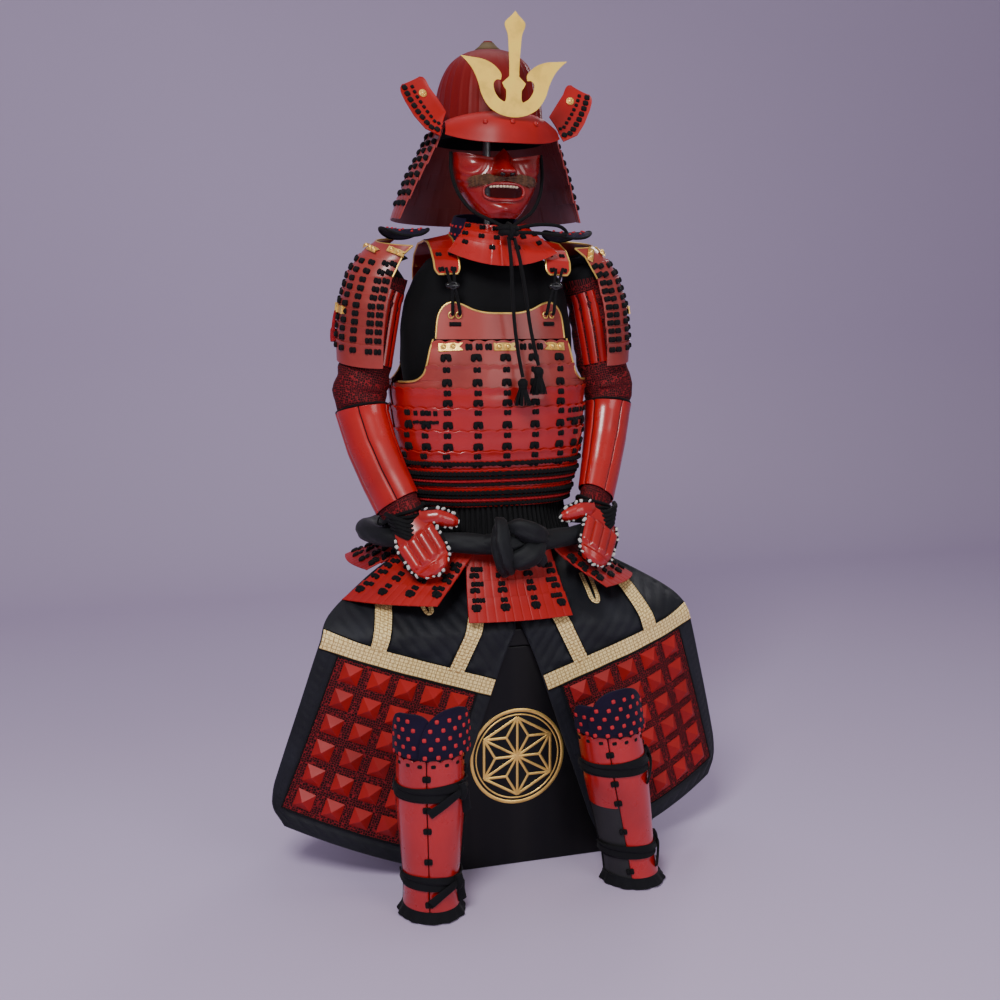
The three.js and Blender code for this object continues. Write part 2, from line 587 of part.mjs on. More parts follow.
function makeHelmet() {
  const rises = [0, 0.28, 0.5, 0.7, 0.85, 0.94, 0.985];
  const ringColumns = spread(0, 360, 20).slice(0, -1);
  const outer = rises.map((rise) => ringColumns.map((angle) => bowlAt(rise, angle)));
  const inner = rises.map((rise) => ringColumns.map((angle) => {
    const p = bowlAt(rise, angle, -BOWL.wall);
    p.z -= BOWL.wall * rise;
    return p;
  }));
  const hole = (z) => ringColumns.map((angle) => point(
    BOWL.tehen * Math.sin(turn(angle)), BOWL.cy - BOWL.tehen * Math.cos(turn(angle)), z));
  outer.push(hole(BOWL.base + BOWL.height));
  inner.push(hole(BOWL.base + BOWL.height - BOWL.wall));
  add('helmet_bowl', wall(outer, inner, true), LACQUER_RED, 0.3);

  const top = BOWL.base + BOWL.height + GAP;
  const profile = [[0, 0], [25, 0], [25, 3], [12, 15], [10, 19], [0, 19]];
  const finial = new THREE.LatheGeometry(profile.map(([r, z]) => new THREE.Vector2(r, z)), 14);
  finial.rotateX(Math.PI / 2).translate(0, BOWL.cy, top);
  add('helmet_finial', finial, GOLD, 0.4, 0.9);

  // Peak: springs from the bowl, then turns down over the eyes.
  const peak = skin((t, c) => {
    const root = bowlAt(0.15 - 0.08 * c * c, 72 * c, 1.6);
    const edge = point(115 * c, -178 + 68 * Math.abs(c) ** 2.2, 1414 + 20 * Math.abs(c) ** 3);
    const brow = point(mix(root.x, edge.x, 0.75), mix(root.y, edge.y, 0.92), root.z - 2);
    return root.multiplyScalar((1 - t) ** 2).addScaledVector(brow, 2 * t * (1 - t)).addScaledVector(edge, t * t);
  }, () => point(0, -60, 1380));
  add('helmet_peak', panel(peak, spread(0, 1, 4), spread(-1, 1, 10), 0, 2.5), LACQUER_RED, 0.2);

  // Crest: an upright sword between two horns, one flat plate.
  const half = [
    [0, 1649], [7, 1641], [20, 1627], [14, 1608], [12, 1590], [10, 1560], [9.5, 1534], [14, 1530], [23, 1522],
    [19, 1514], [15, 1508], [15.5, 1492], [19, 1488], [30, 1495], [38, 1507], [40, 1520], [34, 1527], [26, 1527],
    [25, 1536], [32, 1546], [46, 1556], [64, 1562], [84, 1564], [104, 1566], [92, 1556], [80, 1542], [70, 1522],
    [62, 1498], [48, 1478], [30, 1467], [12, 1462], [0, 1461],
  ];
  const left = half.slice(1, -1).map(([x, z]) => [-x, z]).reverse();
  const crest = prismAlongY([...half, ...left], -1, 1);
  crest.rotateX(turn(3)).translate(0, -174 - Math.sin(turn(3)) * -1461, -1461 * (Math.cos(turn(3)) - 1));
  add('helmet_crest', crest, GOLD, 0.35, 0.9);

  // Turnbacks: plates that spring from the neck guard and turn out and up.
  const edges = [
    { v: 0, ix: 118, iy: -97, iz: 1452, ox: 124, oy: -110, oz: 1430 },
    { v: 0.25, ix: 105, iy: -78, iz: 1480, ox: 153, oy: -108, oz: 1443 },
    { v: 0.5, ix: 120, iy: -77, iz: 1503, ox: 172, oy: -97, oz: 1467 },
    { v: 0.75, ix: 136, iy: -72, iz: 1525, ox: 187, oy: -87, oz: 1495 },
    { v: 1, ix: 146, iy: -67, iz: 1548, ox: 198, oy: -77, oz: 1523 },
  ];
  const turnback = skin((v, c) => {
    const inside = ['ix', 'iy', 'iz'].map((key) => column(edges, key, v, 'v'));
    const outside = ['ox', 'oy', 'oz'].map((key) => column(edges, key, v, 'v'));
    return point(...inside.map((value, k) => mix(value, outside[k], c)));
  }, () => point(150, 100, 1480));
  addPair('turnback', panel(turnback, [0, 0.25, 0.5, 0.75, 1], [0, 0.5, 1], 0, 2.5), LACQUER_RED, 0.3);

  // Neck guard: lames that spread from the bowl's foot round the back and sides.
  const guardRows = [
    { z: 1452, rx: 116, back: 122, reach: 92, draw: 2 },
    { z: 1420, rx: 132, back: 142, reach: 84, draw: 4 },
    { z: 1370, rx: 160, back: 172, reach: 66, draw: 8 },
    { z: 1320, rx: 181, back: 198, reach: 46, draw: 6 },
    { z: 1282, rx: 197, back: 216, reach: 36, draw: 4 },
  ];
  const guard = skin((z, u) => {
    const rx = column(guardRows, 'rx', z);
    if (Math.abs(u) <= 1) {
      const angle = turn(90 * u);
      return point(rx * Math.sin(angle), column(guardRows, 'back', z) * Math.cos(angle), z);
    }
    const share = Math.abs(u) - 1;
    return point(Math.sign(u) * (rx - column(guardRows, 'draw', z) * share ** 2),
      -column(guardRows, 'reach', z) * share, z - 4 * share);
  }, (z) => point(0, 0, z - 60));
  const around = [-2, -1.5, ...spread(-1, 1, 10), 1.5, 2];
  add('neck_guard', lames(guard, [1452, 1422, 1392, 1362, 1328, 1286], around), MUTED_RED);
}

// ---------------------------------------------------------------- face mask and throat
const MASK_ROWS = [
  { z: 1408, w: 88, depth: 108, edge: 66 },
  { z: 1385, w: 87, depth: 114, edge: 62 },
  { z: 1355, w: 82, depth: 118, edge: 62 },
  { z: 1330, w: 72, depth: 120, edge: 66 },
  { z: 1308, w: 58, depth: 121, edge: 74 },
  { z: 1290, w: 42, depth: 119, edge: 86 },
  { z: 1280, w: 30, depth: 112, edge: 92 },
];

function maskSurface(z, c) {
  const w = column(MASK_ROWS, 'w', z);
  const depth = column(MASK_ROWS, 'depth', z);
  const edge = column(MASK_ROWS, 'edge', z);
  const x = w * Math.sin(turn(90 * c));
  const y = -edge - (depth - edge) * Math.max(0, Math.cos(turn(90 * c))) ** 0.8;
  const share = clamp((1412 - z) / 42, 0, 1);
  const nose = z > 1362 ? clamp(1 - Math.abs(x) / mix(9, 24, share), 0, 1) * mix(6, 27, share) : 0;
  return point(x, y - nose, z);
}

function makeMask() {
  const face = skin(maskSurface, (z) => point(0, -20, z));
  const across = [-1, -0.8, -0.6, -0.4, -0.24, -0.12, 0, 0.12, 0.24, 0.4, 0.6, 0.8, 1];
  const down = [1406, 1384, 1370, 1361, 1345, 1322, 1300, 1281];
  const whole = panel(face, down, across, 0, 2.4);
  const mouth = [[-30, 1317], [30, 1317], [37, 1324], [38, 1336], [32, 1344], [-32, 1344], [-38, 1336], [-37, 1324]];
  add('face_mask', cut(whole, prismAlongY(mouth, -180, -60)), LACQUER_RED, 0.15);
  const whiskers = spread(-0.62, 0.62, 8);
  const hair = skin((v, c) => maskSurface(mix(1358, 1347, v) - 8 * c * c, c), (v) => point(0, -20, 1350));
  add('moustache', panel(hair, [0, 1], whiskers, GAP + 6, 6), 0x4a2416, 0.95);

  // Throat guard: a fan of lames hung from the chin, widening downwards.
  const fan = [
    { z: 1272, w: 60, y: 92, sag: 6, round: 34 },
    { z: 1240, w: 80, y: 116, sag: 12, round: 30 },
    { z: 1190, w: 114, y: 137, sag: 28, round: 24 },
  ];
  const throat = skin((z, c) => point(
    column(fan, 'w', z) * c,
    -column(fan, 'y', z) + column(fan, 'round', z) * c * c,
    z + column(fan, 'sag', z) * c * c), () => point(0, 60, 1260));
  add('throat_guard', lames(throat, [1268, 1250, 1230, 1190], spread(-1, 1, 8)), LACQUER_RED, 0.2);
}

// ---------------------------------------------------------------- cords and tassels
const CHIN_CORD = [
  { x: 92, y: -66, z: 1408 },
  { x: 93, y: -72, z: 1370 },
  { x: 84, y: -86, z: 1330 },
  { x: 62, y: -104, z: 1296 },
  { x: 30, y: -124, z: 1276 },
];
const BOW = [
  { x: 8, y: -147, z: 1259 },
  { x: 60, y: -140, z: 1268 },
  { x: 112, y: -118, z: 1268 },
  { x: 134, y: -104, z: 1256 },
  { x: 112, y: -120, z: 1250 },
  { x: 60, y: -144, z: 1252 },
  { x: 8, y: -149, z: 1252 },
];
const TAILS = {
  right: [
    { x: -2, y: -152, z: 1242 },
    { x: 2, y: -154, z: 1200 },
    { x: 6, y: -152, z: 1140 },
    { x: 10, y: -152, z: 1080 },
    { x: 17, y: -156, z: 1020 },
    { x: 24, y: -162, z: 976 },
  ],
  left: [
    { x: 9, y: -152, z: 1242 },
    { x: 20, y: -154, z: 1200 },
    { x: 32, y: -152, z: 1140 },
    { x: 41, y: -152, z: 1080 },
    { x: 50, y: -157, z: 1030 },
    { x: 57, y: -160, z: 998 },
  ],
};
const CORD = 7;

function makeCords() {
  const track = (rows) => rows.map(({ x, y, z }) => point(x, y, z));
  const up = track(CHIN_CORD);
  const other = up.map((p) => point(-p.x, p.y, p.z)).reverse();
  const loop = bar([...up, point(0, -142, 1262), ...other], CORD / 2, 8, 20);
  const sides = 8;
  const knot = [[-24, 9], [-16, 15], [0, 18], [16, 15], [24, 9]].map(([x, r]) => (
    Array.from({ length: sides }, (_, k) => {
      const angle = (2 * Math.PI * k) / sides;
      return point(x, -146 + 0.62 * r * Math.cos(angle), 1255 + r * 0.7 * Math.sin(angle));
    })));
  const bow = bar(track(BOW), CORD / 2, 8, 12);
  add('chin_cord', join(loop, solid(knot), bow), BLACK, 0.9);
  Object.entries(TAILS).forEach(([side, rows]) => {
    add(`cord_tail_${side}`, bar(track(rows), CORD / 2, 8, 12), BLACK, 0.9);
    const end = rows.at(-1);
    const profile = [[0, 0], [4, 0], [9, -5], [10, -12], [8, -17], [12, -34], [14, -52], [0, -54]];
    const tassel = new THREE.LatheGeometry(profile.reverse().map(([r, z]) => new THREE.Vector2(r, z)), 8);
    tassel.rotateX(Math.PI / 2).translate(end.x, end.y, end.z - 1.6);
    add(`tassel_${side}`, tassel, BLACK, 0.95);
  });
}

// ---------------------------------------------------------------- thigh guards
const THIGH = { x: 52, z: 393, lean: 19, pitch: 53.5, stud: 42, height: 14, u: 59, v: 61, studsAcross: 5, studsDown: 6 };

const LAP = { z: 484, slope: 2.3, ease: 56 };   // where the cloth turns back over the box and how steeply

// Cloth surface of a thigh guard: u runs outwards along the band, v runs down from it.
function thighSurface(v, u) {
  const lean = turn(THIGH.lean);
  const x = THIGH.x + u * Math.cos(lean) + v * Math.sin(lean);
  const z = THIGH.z + u * Math.sin(lean) - v * Math.cos(lean);
  const curl = 0.00122 * Math.max(0, x - 205) ** 2;
  const rise = Math.max(0, z - LAP.z);
  const lap = LAP.slope * rise * rise / (rise + LAP.ease);
  return point(x, BOX.front - 11 + curl + lap, z);
}
const thighSkin = skin(thighSurface, (v, u) => thighSurface(v, u).add(point(0, 400, 0)));

const APRON = [
  { v: -180, from: 12, to: 180 },
  { v: -146, from: 0, to: 226 },
  { v: -112, from: -12, to: 264 },
  { v: -75, from: -8, to: 298 },
  { v: -40, from: -6, to: 328 },
  { v: -10, from: -5, to: 345 },
  { v: 70, from: -5, to: 343 },
  { v: 150, from: -5, to: 340 },
  { v: 240, from: -5, to: 337 },
  { v: 330, from: -5, to: 333 },
  { v: 374, from: 2, to: 322 },
  { v: 392, from: 20, to: 300 },
  { v: 398, from: 40, to: 280 },
];

function makeThighs() {
  const rows = [...spread(-180, -10, 10), 30, 70, 150, 240, 330, 374, 392, 398];
  const cloth = (lift) => rows.map((v) => {
    const [from, to] = [column(APRON, 'from', v, 'v'), column(APRON, 'to', v, 'v')];
    return spread(from, to, 12).map((u) => thighSkin(v, u, lift));
  });
  addPair('thigh_apron', wall(cloth(0), cloth(-2.6)), BLACK, 0.7);

  const { u, v, pitch, stud, height, studsAcross, studsDown } = THIGH;
  const lines = (first, count) => Array.from({ length: count }, (_, k) => first + k * pitch)
    .flatMap((centre) => [centre - stud / 2, centre, centre + stud / 2]);
  const acrossLines = [u - 32, ...lines(u, studsAcross), u + (studsAcross - 1) * pitch + 32];
  const downLines = [37, ...lines(v + 2, studsDown), v + (studsDown - 1) * pitch + 32];
  const isApex = (k) => k > 0 && k % 3 === 2;
  const outer = downLines.map((dv, r) => acrossLines.map((du, c) => (
    thighSkin(dv, du, 2.8 + (isApex(r) && isApex(c) ? height : 0)))));
  const inner = downLines.filter((_, r) => r % 3 === 0 || r === downLines.length - 1)
    .map((dv) => acrossLines.map((du) => thighSkin(dv, du, 1.2)));
  addPair('thigh_field', wall(outer, inner), LACQUER_RED, 0.25);

  const strip = (rows, width, lift) => panel(thighSkin, rows, width, lift, 1.6);
  const band = strip([-1, 16, 34], spread(-1, 335, 12), 3.6);
  const straps = [{ c: 80, lean: -14 }, { c: 240, lean: 0 }].map(({ c, lean }) => {
    const slanted = skin((dv, du) => thighSurface(dv, du + lean * (dv / -110)), (dv, du) => (
      thighSurface(dv, du).add(point(0, 400, 0))));
    return panel(slanted, spread(-112, 5, 8), [c - 16, c + 16], 4.4, 1.6);
  });
  addPair('thigh_band', join(band, ...straps), BROCADE_GOLD, 0.8);
}

// ---------------------------------------------------------------- shin guards
const LEGS = {
  right: { x: -213, y: -340, yaw: -10, lean: 0 },
  left: { x: 198, y: -325, yaw: -21, lean: -54 },
};
const SHIN_ROWS = [
  { z: 0, w: 56, d: 62 },
  { z: 20, w: 50, d: 56 },
  { z: 60, w: 49, d: 53 },
  { z: 130, w: 55, d: 58 },
  { z: 210, w: 62, d: 62 },
  { z: 310, w: 61, d: 60 },
  { z: 420, w: 63, d: 50 },
];

function makeShins() {
  const leg = (z, angle) => point(
    column(SHIN_ROWS, 'w', z) * Math.sin(turn(angle)),
    -column(SHIN_ROWS, 'd', z) * Math.cos(turn(angle)), z);
  const shin = skin(leg, (z) => point(0, 0, z));
  const wrap = spread(-180 + SHIN.gape, 180 - SHIN.gape, 10);
  Object.entries(LEGS).forEach(([side, { x, y, yaw, lean }]) => {
    const shear = new THREE.Matrix4().makeShear(0, 0, 0, 0, lean / SHIN.height, 0);
    const stand = (geometry) => geometry.rotateZ(turn(-yaw)).applyMatrix4(shear).translate(x, y, 0);
    const plates = panel(shin, [1, 20, 60, 130, 210, SHIN.height], wrap, 0, SHIN.wall);
    add(`shin_guard_${side}`, stand(plates), LACQUER_RED, 0.25);

    // Knee flap: a padded leaf that rises from the plates' top edge.
    const flap = skin((v, c) => {
      const rise = SHIN.flap * Math.sqrt(Math.max(0, 1 - Math.abs(c) ** 3.2));
      return leg(SHIN.height - 14 + v * rise, c * 96);
    }, () => point(0, 0, SHIN.height));
    const pad = panel(flap, [0, 0.5, 1], spread(-0.97, 0.97, 10), 10, 8);
    add(`knee_flap_${side}`, stand(pad), NAVY, 0.9);

    // Cloth ties wound round the leg.
    [['upper', 246, 14], ['lower', 72, 13]].forEach(([name, z, high]) => {
      const tie = panel(shin, [z + high, z - high], wrap, GAP + 3.2, 3);
      add(`${name}_tie_${side}`, stand(tie), BLACK, 0.9);
    });
  });
}

makeBox();
makeStand();
makeCuirass();
makeWaist();
makeShoulders();
makeSash();
makeTassets();
makeArms();
makeHelmet();
makeMask();
makeCords();
makeThighs();
makeShins();

export default armour;
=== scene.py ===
"""Samurai armour on its box: camera, cords, then every piece with its finish."""
import math

import bmesh
import bpy
import numpy as np
from mathutils import Matrix, Vector


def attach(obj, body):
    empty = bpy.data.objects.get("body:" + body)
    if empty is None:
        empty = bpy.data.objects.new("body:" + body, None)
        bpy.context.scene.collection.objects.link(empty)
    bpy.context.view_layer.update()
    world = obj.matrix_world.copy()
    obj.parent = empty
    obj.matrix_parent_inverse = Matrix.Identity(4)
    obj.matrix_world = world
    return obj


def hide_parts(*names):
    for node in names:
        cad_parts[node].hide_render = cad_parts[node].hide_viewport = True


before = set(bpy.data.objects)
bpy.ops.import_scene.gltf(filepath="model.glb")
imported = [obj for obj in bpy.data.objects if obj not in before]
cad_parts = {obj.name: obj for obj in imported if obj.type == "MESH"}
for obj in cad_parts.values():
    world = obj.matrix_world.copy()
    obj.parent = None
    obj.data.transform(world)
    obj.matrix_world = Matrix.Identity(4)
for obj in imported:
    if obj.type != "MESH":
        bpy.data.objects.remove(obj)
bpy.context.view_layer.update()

CENTRE_Y = 82.5               # the armour's own axis lies this far behind the origin, in mm
SIDES = (("left", 1), ("right", -1))
MM = 0.001
TINY = 1e-12                  # keeps a length that is divided by above zero
UP = np.array((0, 0, 1.0))
SHARP = 40                    # edges that turn by more degrees than this stay sharp

# ------------------------------------------------------------------ camera and light
camera = bpy.data.objects.new("camera", bpy.data.cameras.new("camera"))
camera.data.lens = 44.57
camera.data.sensor_width = 36
camera.location = (-0.744, -2.450 + CENTRE_Y * MM, 1.100)
camera.rotation_euler = (math.radians(90 - 8.6), 0, math.radians(-17.5))
bpy.context.scene.collection.objects.link(camera)
bpy.context.scene.camera = camera


def lamp(name, kind, place, target, **settings):
    """A lamp at a place, turned to its target."""
    light = bpy.data.lights.new(name, kind)
    for key, value in settings.items():
        setattr(light, key, value)
    holder = bpy.data.objects.new(name, light)
    holder.location = place
    holder.rotation_euler = (Vector(target) - Vector(place)).to_track_quat("-Z", "Y").to_euler()
    bpy.context.scene.collection.objects.link(holder)


for name, place, height, (wide, high), watts in (("key", (-1.5, -2.5, 3.1), 0.8, (1.1, 1.1), 96),
                                                 ("fill", (1.3, -3.0, 1.3), 0.9, (1.6, 1.8), 26),
                                                 ("top", (0.2, 0.6, 3.4), 1.0, (2.0, 1.6), 18)):
    lamp(name, "AREA", place, (0, 0, height), shape="RECTANGLE", size=wide, size_y=high, energy=watts)
lamp("rim", "SPOT", (1.8, 2.1, 2.4), (0, 0, 1.0), energy=70, spot_size=math.radians(50), spot_blend=0.8,
     shadow_soft_size=0.35)
world = bpy.data.worlds.new("studio")
world.use_nodes = True
world.node_tree.nodes["Background"].inputs["Color"].default_value = (0.84, 0.8, 0.86, 1)
world.node_tree.nodes["Background"].inputs["Strength"].default_value = 0.32
bpy.context.scene.world = world


# ------------------------------------------------------------------ finishes
class Graph:
    """Nodes of one finish, joined by short calls."""

    def __init__(self, name, slot, colour, rough, metal=0.0, coat=0.0, sheen=0.0, gloss=0.5):
        self.finish = bpy.data.materials.new(name)
        self.finish.use_nodes = True
        self.finish["slot"] = slot
        self.tree = self.finish.node_tree
        self.shader = self.tree.nodes["Principled BSDF"]
        for key, value in (("Roughness", rough), ("Metallic", metal), ("Coat Weight", coat),
                           ("Coat Roughness", 0.15), ("Sheen Weight", sheen), ("Sheen Roughness", 0.4),
                           ("Specular IOR Level", gloss)):
            self.shader.inputs[key].default_value = value
        self.shader.inputs["Base Color"].default_value = (*colour, 1)

    def add(self, kind, settings=None, **inputs):
        node = self.tree.nodes.new(kind)
        for key, value in (settings or {}).items():
            setattr(node, key, value)
        for key, value in inputs.items():
            socket = node.inputs[int(key[1:])] if key[0] == "i" and key[1:].isdigit() else node.inputs[key]
            if isinstance(value, bpy.types.NodeSocket):
                self.tree.links.new(value, socket)
            else:
                socket.default_value = value
        return node

    def where(self, stretch=(1, 1, 1), kind="Object", tilt=0.0):
        spot = self.add("ShaderNodeTexCoord").outputs[kind]
        return self.add("ShaderNodeMapping", Vector=spot, Scale=stretch,
                        Rotation=(0, 0, tilt)).outputs["Vector"]

    def noise(self, scale, detail=3.0, where=None):
        vector = self.where() if where is None else where
        return self.add("ShaderNodeTexNoise", Vector=vector, Scale=scale, Detail=detail).outputs["Fac"]

    def wave(self, scale, where, direction="X"):
        return self.add("ShaderNodeTexWave", {"bands_direction": direction}, Vector=where,
                        Scale=scale).outputs["Fac"]

    def maths(self, how, *values):
        node = self.add("ShaderNodeMath", {"operation": how})
        for socket, value in zip(node.inputs, values):
            if isinstance(value, bpy.types.NodeSocket):
                self.tree.links.new(value, socket)
            else:
                socket.default_value = value
        return node.outputs[0]

    def ramp(self, factor, stops):
        node = self.add("ShaderNodeValToRGB", Fac=factor)
        band = node.color_ramp
        while len(band.elements) < len(stops):
            band.elements.new(0.5)
        for element, (place, colour) in zip(band.elements, stops):
            element.position = place
            element.color = (*colour, 1)
        return node.outputs["Color"]

    def tones(self, factor, colour, places, dark=0.75, light=1.2):
        """A darker, the plain and a lighter tone of a colour, at three places of the factor."""
        tones = ([c * dark for c in colour], colour, [min(1, c * light) for c in colour])
        return self.ramp(factor, list(zip(places, tones)))

    def between(self, factor, low, high):
        return self.add("ShaderNodeMapRange", Value=factor, i3=low, i4=high).outputs["Result"]

    def bump(self, height, strength, depth, under=None):
        node = self.add("ShaderNodeBump", Height=height, Strength=strength, Distance=depth)
        if under is not None:
            self.tree.links.new(under, node.inputs["Normal"])
        return node.outputs["Normal"]

    def set(self, **links):
        for key, value in links.items():
            self.tree.links.new(value, self.shader.inputs[key.replace("_", " ")])


def threads(pitch):
    """Scale of a wave texture, which turns 20 times a unit, for threads of a pitch in mm."""
    return math.pi * 2 / (pitch * MM) / 20


def lacquer(name, slot, colour, rough, coat, gloss=0.5):
    g = Graph(name, slot, colour, rough, coat=coat, gloss=gloss)
    g.set(Base_Color=g.tones(g.noise(7, 5), colour, (0.3, 0.5, 0.72), 0.7, 1.16),
          Roughness=g.between(g.noise(38, 6), rough - 0.07, rough + 0.12),
          Normal=g.bump(g.noise(24, 2), 0.10, 0.002, g.bump(g.noise(420, 2), 0.05, 0.0006)))
    return g.finish


def cloth(name, slot, colour, pitch=0.9, rough=0.85, sheen=0.05, gloss=0.2):
    """Woven cloth on the piece's own UV, which is in metres."""
    g = Graph(name, slot, colour, rough, sheen=sheen, gloss=gloss)
    warp, weft = (g.wave(threads(pitch), g.where(kind="UV"), way) for way in ("X", "Y"))
    weave = g.bump(g.maths("MAXIMUM", warp, weft), 0.35, 0.0004)
    g.set(Base_Color=g.tones(g.noise(9, 6), colour, (0.3, 0.55, 0.8), 0.6, 1.5),
          Normal=g.bump(g.noise(16, 4), 0.35, 0.006, weave))
    return g.finish


SATIN = lacquer("satin_red_lacquer", "red_lacquer", (0.37, 0.009, 0.008), rough=0.44, coat=0.0, gloss=0.32)
MASK_RED = lacquer("mask_lacquer", "red_lacquer", (0.27, 0.006, 0.006), rough=0.25, coat=0.5)
RED = lacquer("red_lacquer", "red_lacquer", (0.40, 0.010, 0.008), rough=0.3, coat=0.35)
BRIGHT = lacquer("bright_red_lacquer", "red_lacquer", (0.43, 0.010, 0.008), rough=0.27, coat=0.5)
DEEP = lacquer("deep_red_lacquer", "red_lacquer", (0.17, 0.005, 0.005), rough=0.46, coat=0.0, gloss=0.2)
MUTED = lacquer("muted_red_lacquer", "muted_red_lacquer", (0.33, 0.036, 0.028), rough=0.36, coat=0.2)
# The inner faces of the neck guard: the muted lacquer made darker, as painted shade.
INSIDE_SHADE = lacquer("dark_lining", "muted_red_lacquer", (0.22, 0.03, 0.026), rough=0.42, coat=0.15)
BLACK_CLOTH = cloth("black_cloth", "black_cloth", (0.006, 0.006, 0.008))
SASH_CLOTH = cloth("black_sash_cloth", "black_cloth", (0.008, 0.009, 0.011), rough=0.62, sheen=0.05,
                   gloss=0.3)
QUILT_CLOTH = cloth("quilted_black_cloth", "black_cloth", (0.009, 0.010, 0.015), rough=0.56, sheen=0.05,
                    gloss=0.3)
NAVY_CLOTH = cloth("navy_cloth", "navy_cloth", (0.010, 0.005, 0.024), pitch=1.1)
STAND_CLOTH = cloth("stand_cloth", "black_wood", (0.004, 0.004, 0.005), sheen=0.02)
LEATHER = lacquer("worn_leather", "black_cloth", (0.014, 0.014, 0.015), rough=0.6, coat=0.0)


def cord_finish(name, slot, colour):
    g = Graph(name, slot, colour, 0.8, sheen=0.04, gloss=0.2)
    twist = g.wave(threads(2.0), g.where(tilt=0.7), "DIAGONAL")
    # Colour follows the twist's relief: the darker grooves are painted shade and the lighter crests are
    # painted highlight; the noise varies the thread tone.
    g.set(Base_Color=g.tones(g.maths("MULTIPLY", twist, g.noise(160, 3)), colour, (0.1, 0.4, 0.9), 0.5, 2.2),
          Normal=g.bump(twist, 0.5, 0.0006))
    return g.finish


LACING = cord_finish("black_lacing", "black_lacing", (0.005, 0.005, 0.006))
RED_CORD = cord_finish("red_cord", "red_brocade", (0.4, 0.012, 0.02))
WHITE_CORD = cord_finish("white_cord", "gold_brocade", (0.75, 0.74, 0.7))


def gilt(name="gilt", colour=(1.0, 0.64, 0.17), rough=0.3, metal=0.8, slot="gilt"):
    g = Graph(name, slot, colour, rough, metal=metal)
    g.set(Base_Color=g.tones(g.noise(30, 6), colour, (0.3, 0.5, 0.8), 0.72, 1.12),
          Roughness=g.between(g.noise(90, 5), rough - 0.06, rough + 0.18),
          Normal=g.bump(g.noise(300, 3), 0.12, 0.0005))
    return g.finish


GILT = gilt()
CREST_GILT = gilt("crest_gilt", (1.0, 0.64, 0.09), 0.5, 0.1)
AGED_GILT = gilt("aged_gilt", (0.12, 0.075, 0.03), 0.6, 0.3)
STEEL = gilt("grey_steel", (0.42, 0.45, 0.46), 0.3, slot="black_wood")


def red_brocade():
    g = Graph("red_brocade", "red_brocade", (0.09, 0.012, 0.014), 0.75, gloss=0.2)
    net = g.add("ShaderNodeTexVoronoi", {"feature": "DISTANCE_TO_EDGE"}, Vector=g.where(kind="UV"),
                Scale=210.0, Randomness=0.55).outputs["Distance"]
    g.set(Base_Color=g.ramp(net, [(0.0, (0.3, 0.012, 0.016)), (0.06, (0.16, 0.008, 0.012)),
                                  (0.12, (0.004, 0.002, 0.003))]),
          Normal=g.bump(net, -0.7, 0.0012, g.bump(g.noise(22, 3), 0.3, 0.008)))
    return g.finish


def gold_brocade():
    g = Graph("gold_brocade", "gold_brocade", (0.42, 0.31, 0.16), 0.62, sheen=0.2)
    spot = g.where(kind="UV")
    # Sockets of the brick texture: 5 mortar, 8 width, 9 height.
    fret = g.add("ShaderNodeTexBrick", {"offset": 0.5}, Vector=spot, Scale=60.0, i5=0.035, i8=0.6, i9=0.4)
    cross = g.add("ShaderNodeTexBrick", {"offset": 0.5}, Vector=g.where(kind="UV", tilt=math.pi / 2),
                  Scale=52.0, i5=0.035, i8=0.7, i9=0.45)
    lines = g.maths("MAXIMUM", fret.outputs["Fac"], cross.outputs["Fac"])
    g.set(Base_Color=g.ramp(g.maths("ADD", lines, g.maths("MULTIPLY", g.noise(45, 4), 0.5)),
                            [(0.15, (1.0, 0.78, 0.36)), (0.45, (0.95, 0.70, 0.28)),
                             (1.0, (0.42, 0.24, 0.08))]),
          Normal=g.bump(lines, -0.6, 0.0006, g.bump(g.wave(320, spot, "DIAGONAL"), 0.3, 0.0004)))
    return g.finish


def hair_finish():
    g = Graph("hair", "hair", (0.11, 0.055, 0.03), 0.6, sheen=0.2)
    g.set(Base_Color=g.ramp(g.noise(240, 3, g.where((1, 1, 0.1))),
                            [(0.3, (0.04, 0.016, 0.007)), (0.7, (0.21, 0.09, 0.036))]))
    return g.finish


def box_lacquer():
    g = Graph("black_box_lacquer", "black_lacquer", (0.004, 0.004, 0.005), 0.42, coat=0.05, gloss=0.2)
    grain = g.noise(14, 6, g.where((1, 1, 0.08)))
    g.set(Base_Color=g.ramp(grain, [(0.35, (0.003, 0.003, 0.004)), (0.75, (0.009, 0.008, 0.008))]),
          Roughness=g.between(g.noise(60, 5), 0.34, 0.55), Normal=g.bump(grain, 0.12, 0.001))
    return g.finish


def plain(name, slot, colour, rough):
    g = Graph(name, slot, colour, rough)
    g.set(Base_Color=g.tones(g.noise(60, 4), colour, (0.3, 0.5, 0.7), 0.8, 1.15),
          Normal=g.bump(g.noise(200, 3), 0.15, 0.0005))
    return g.finish


RED_BROCADE = red_brocade()
GOLD_BROCADE = gold_brocade()
HAIR = hair_finish()
BOX_LACQUER = box_lacquer()
TEETH = plain("teeth", "hair", (0.72, 0.6, 0.42), 0.4)
HORN = plain("dark_horn", "black_wood", (0.012, 0.012, 0.013), 0.18)
RED_DOT = plain("red_dot", "navy_cloth", (0.5, 0.012, 0.02), 0.7)
FLOOR = Graph("pale_floor", "stage", (0.58, 0.48, 0.68), 0.9).finish


# ------------------------------------------------------------------ shapes
def lerp(a, b, t):
    return a + (b - a) * t


def power(value, exponent):
    return np.sign(value) * np.abs(value) ** exponent


def ramp(value, width=1.0):
    """From 0 to 1 over a width."""
    return np.clip(value / width, 0, 1)


def bell(*pairs):
    """A smooth bump round zero; each pair is a distance and its spread."""
    return np.exp(-sum((far / spread) ** 2 for far, spread in pairs))


def sind(angle):
    return np.sin(np.radians(angle))


def cosd(angle):
    return np.cos(np.radians(angle))


def grid(v, u):
    return np.meshgrid(v, u, indexing="ij")


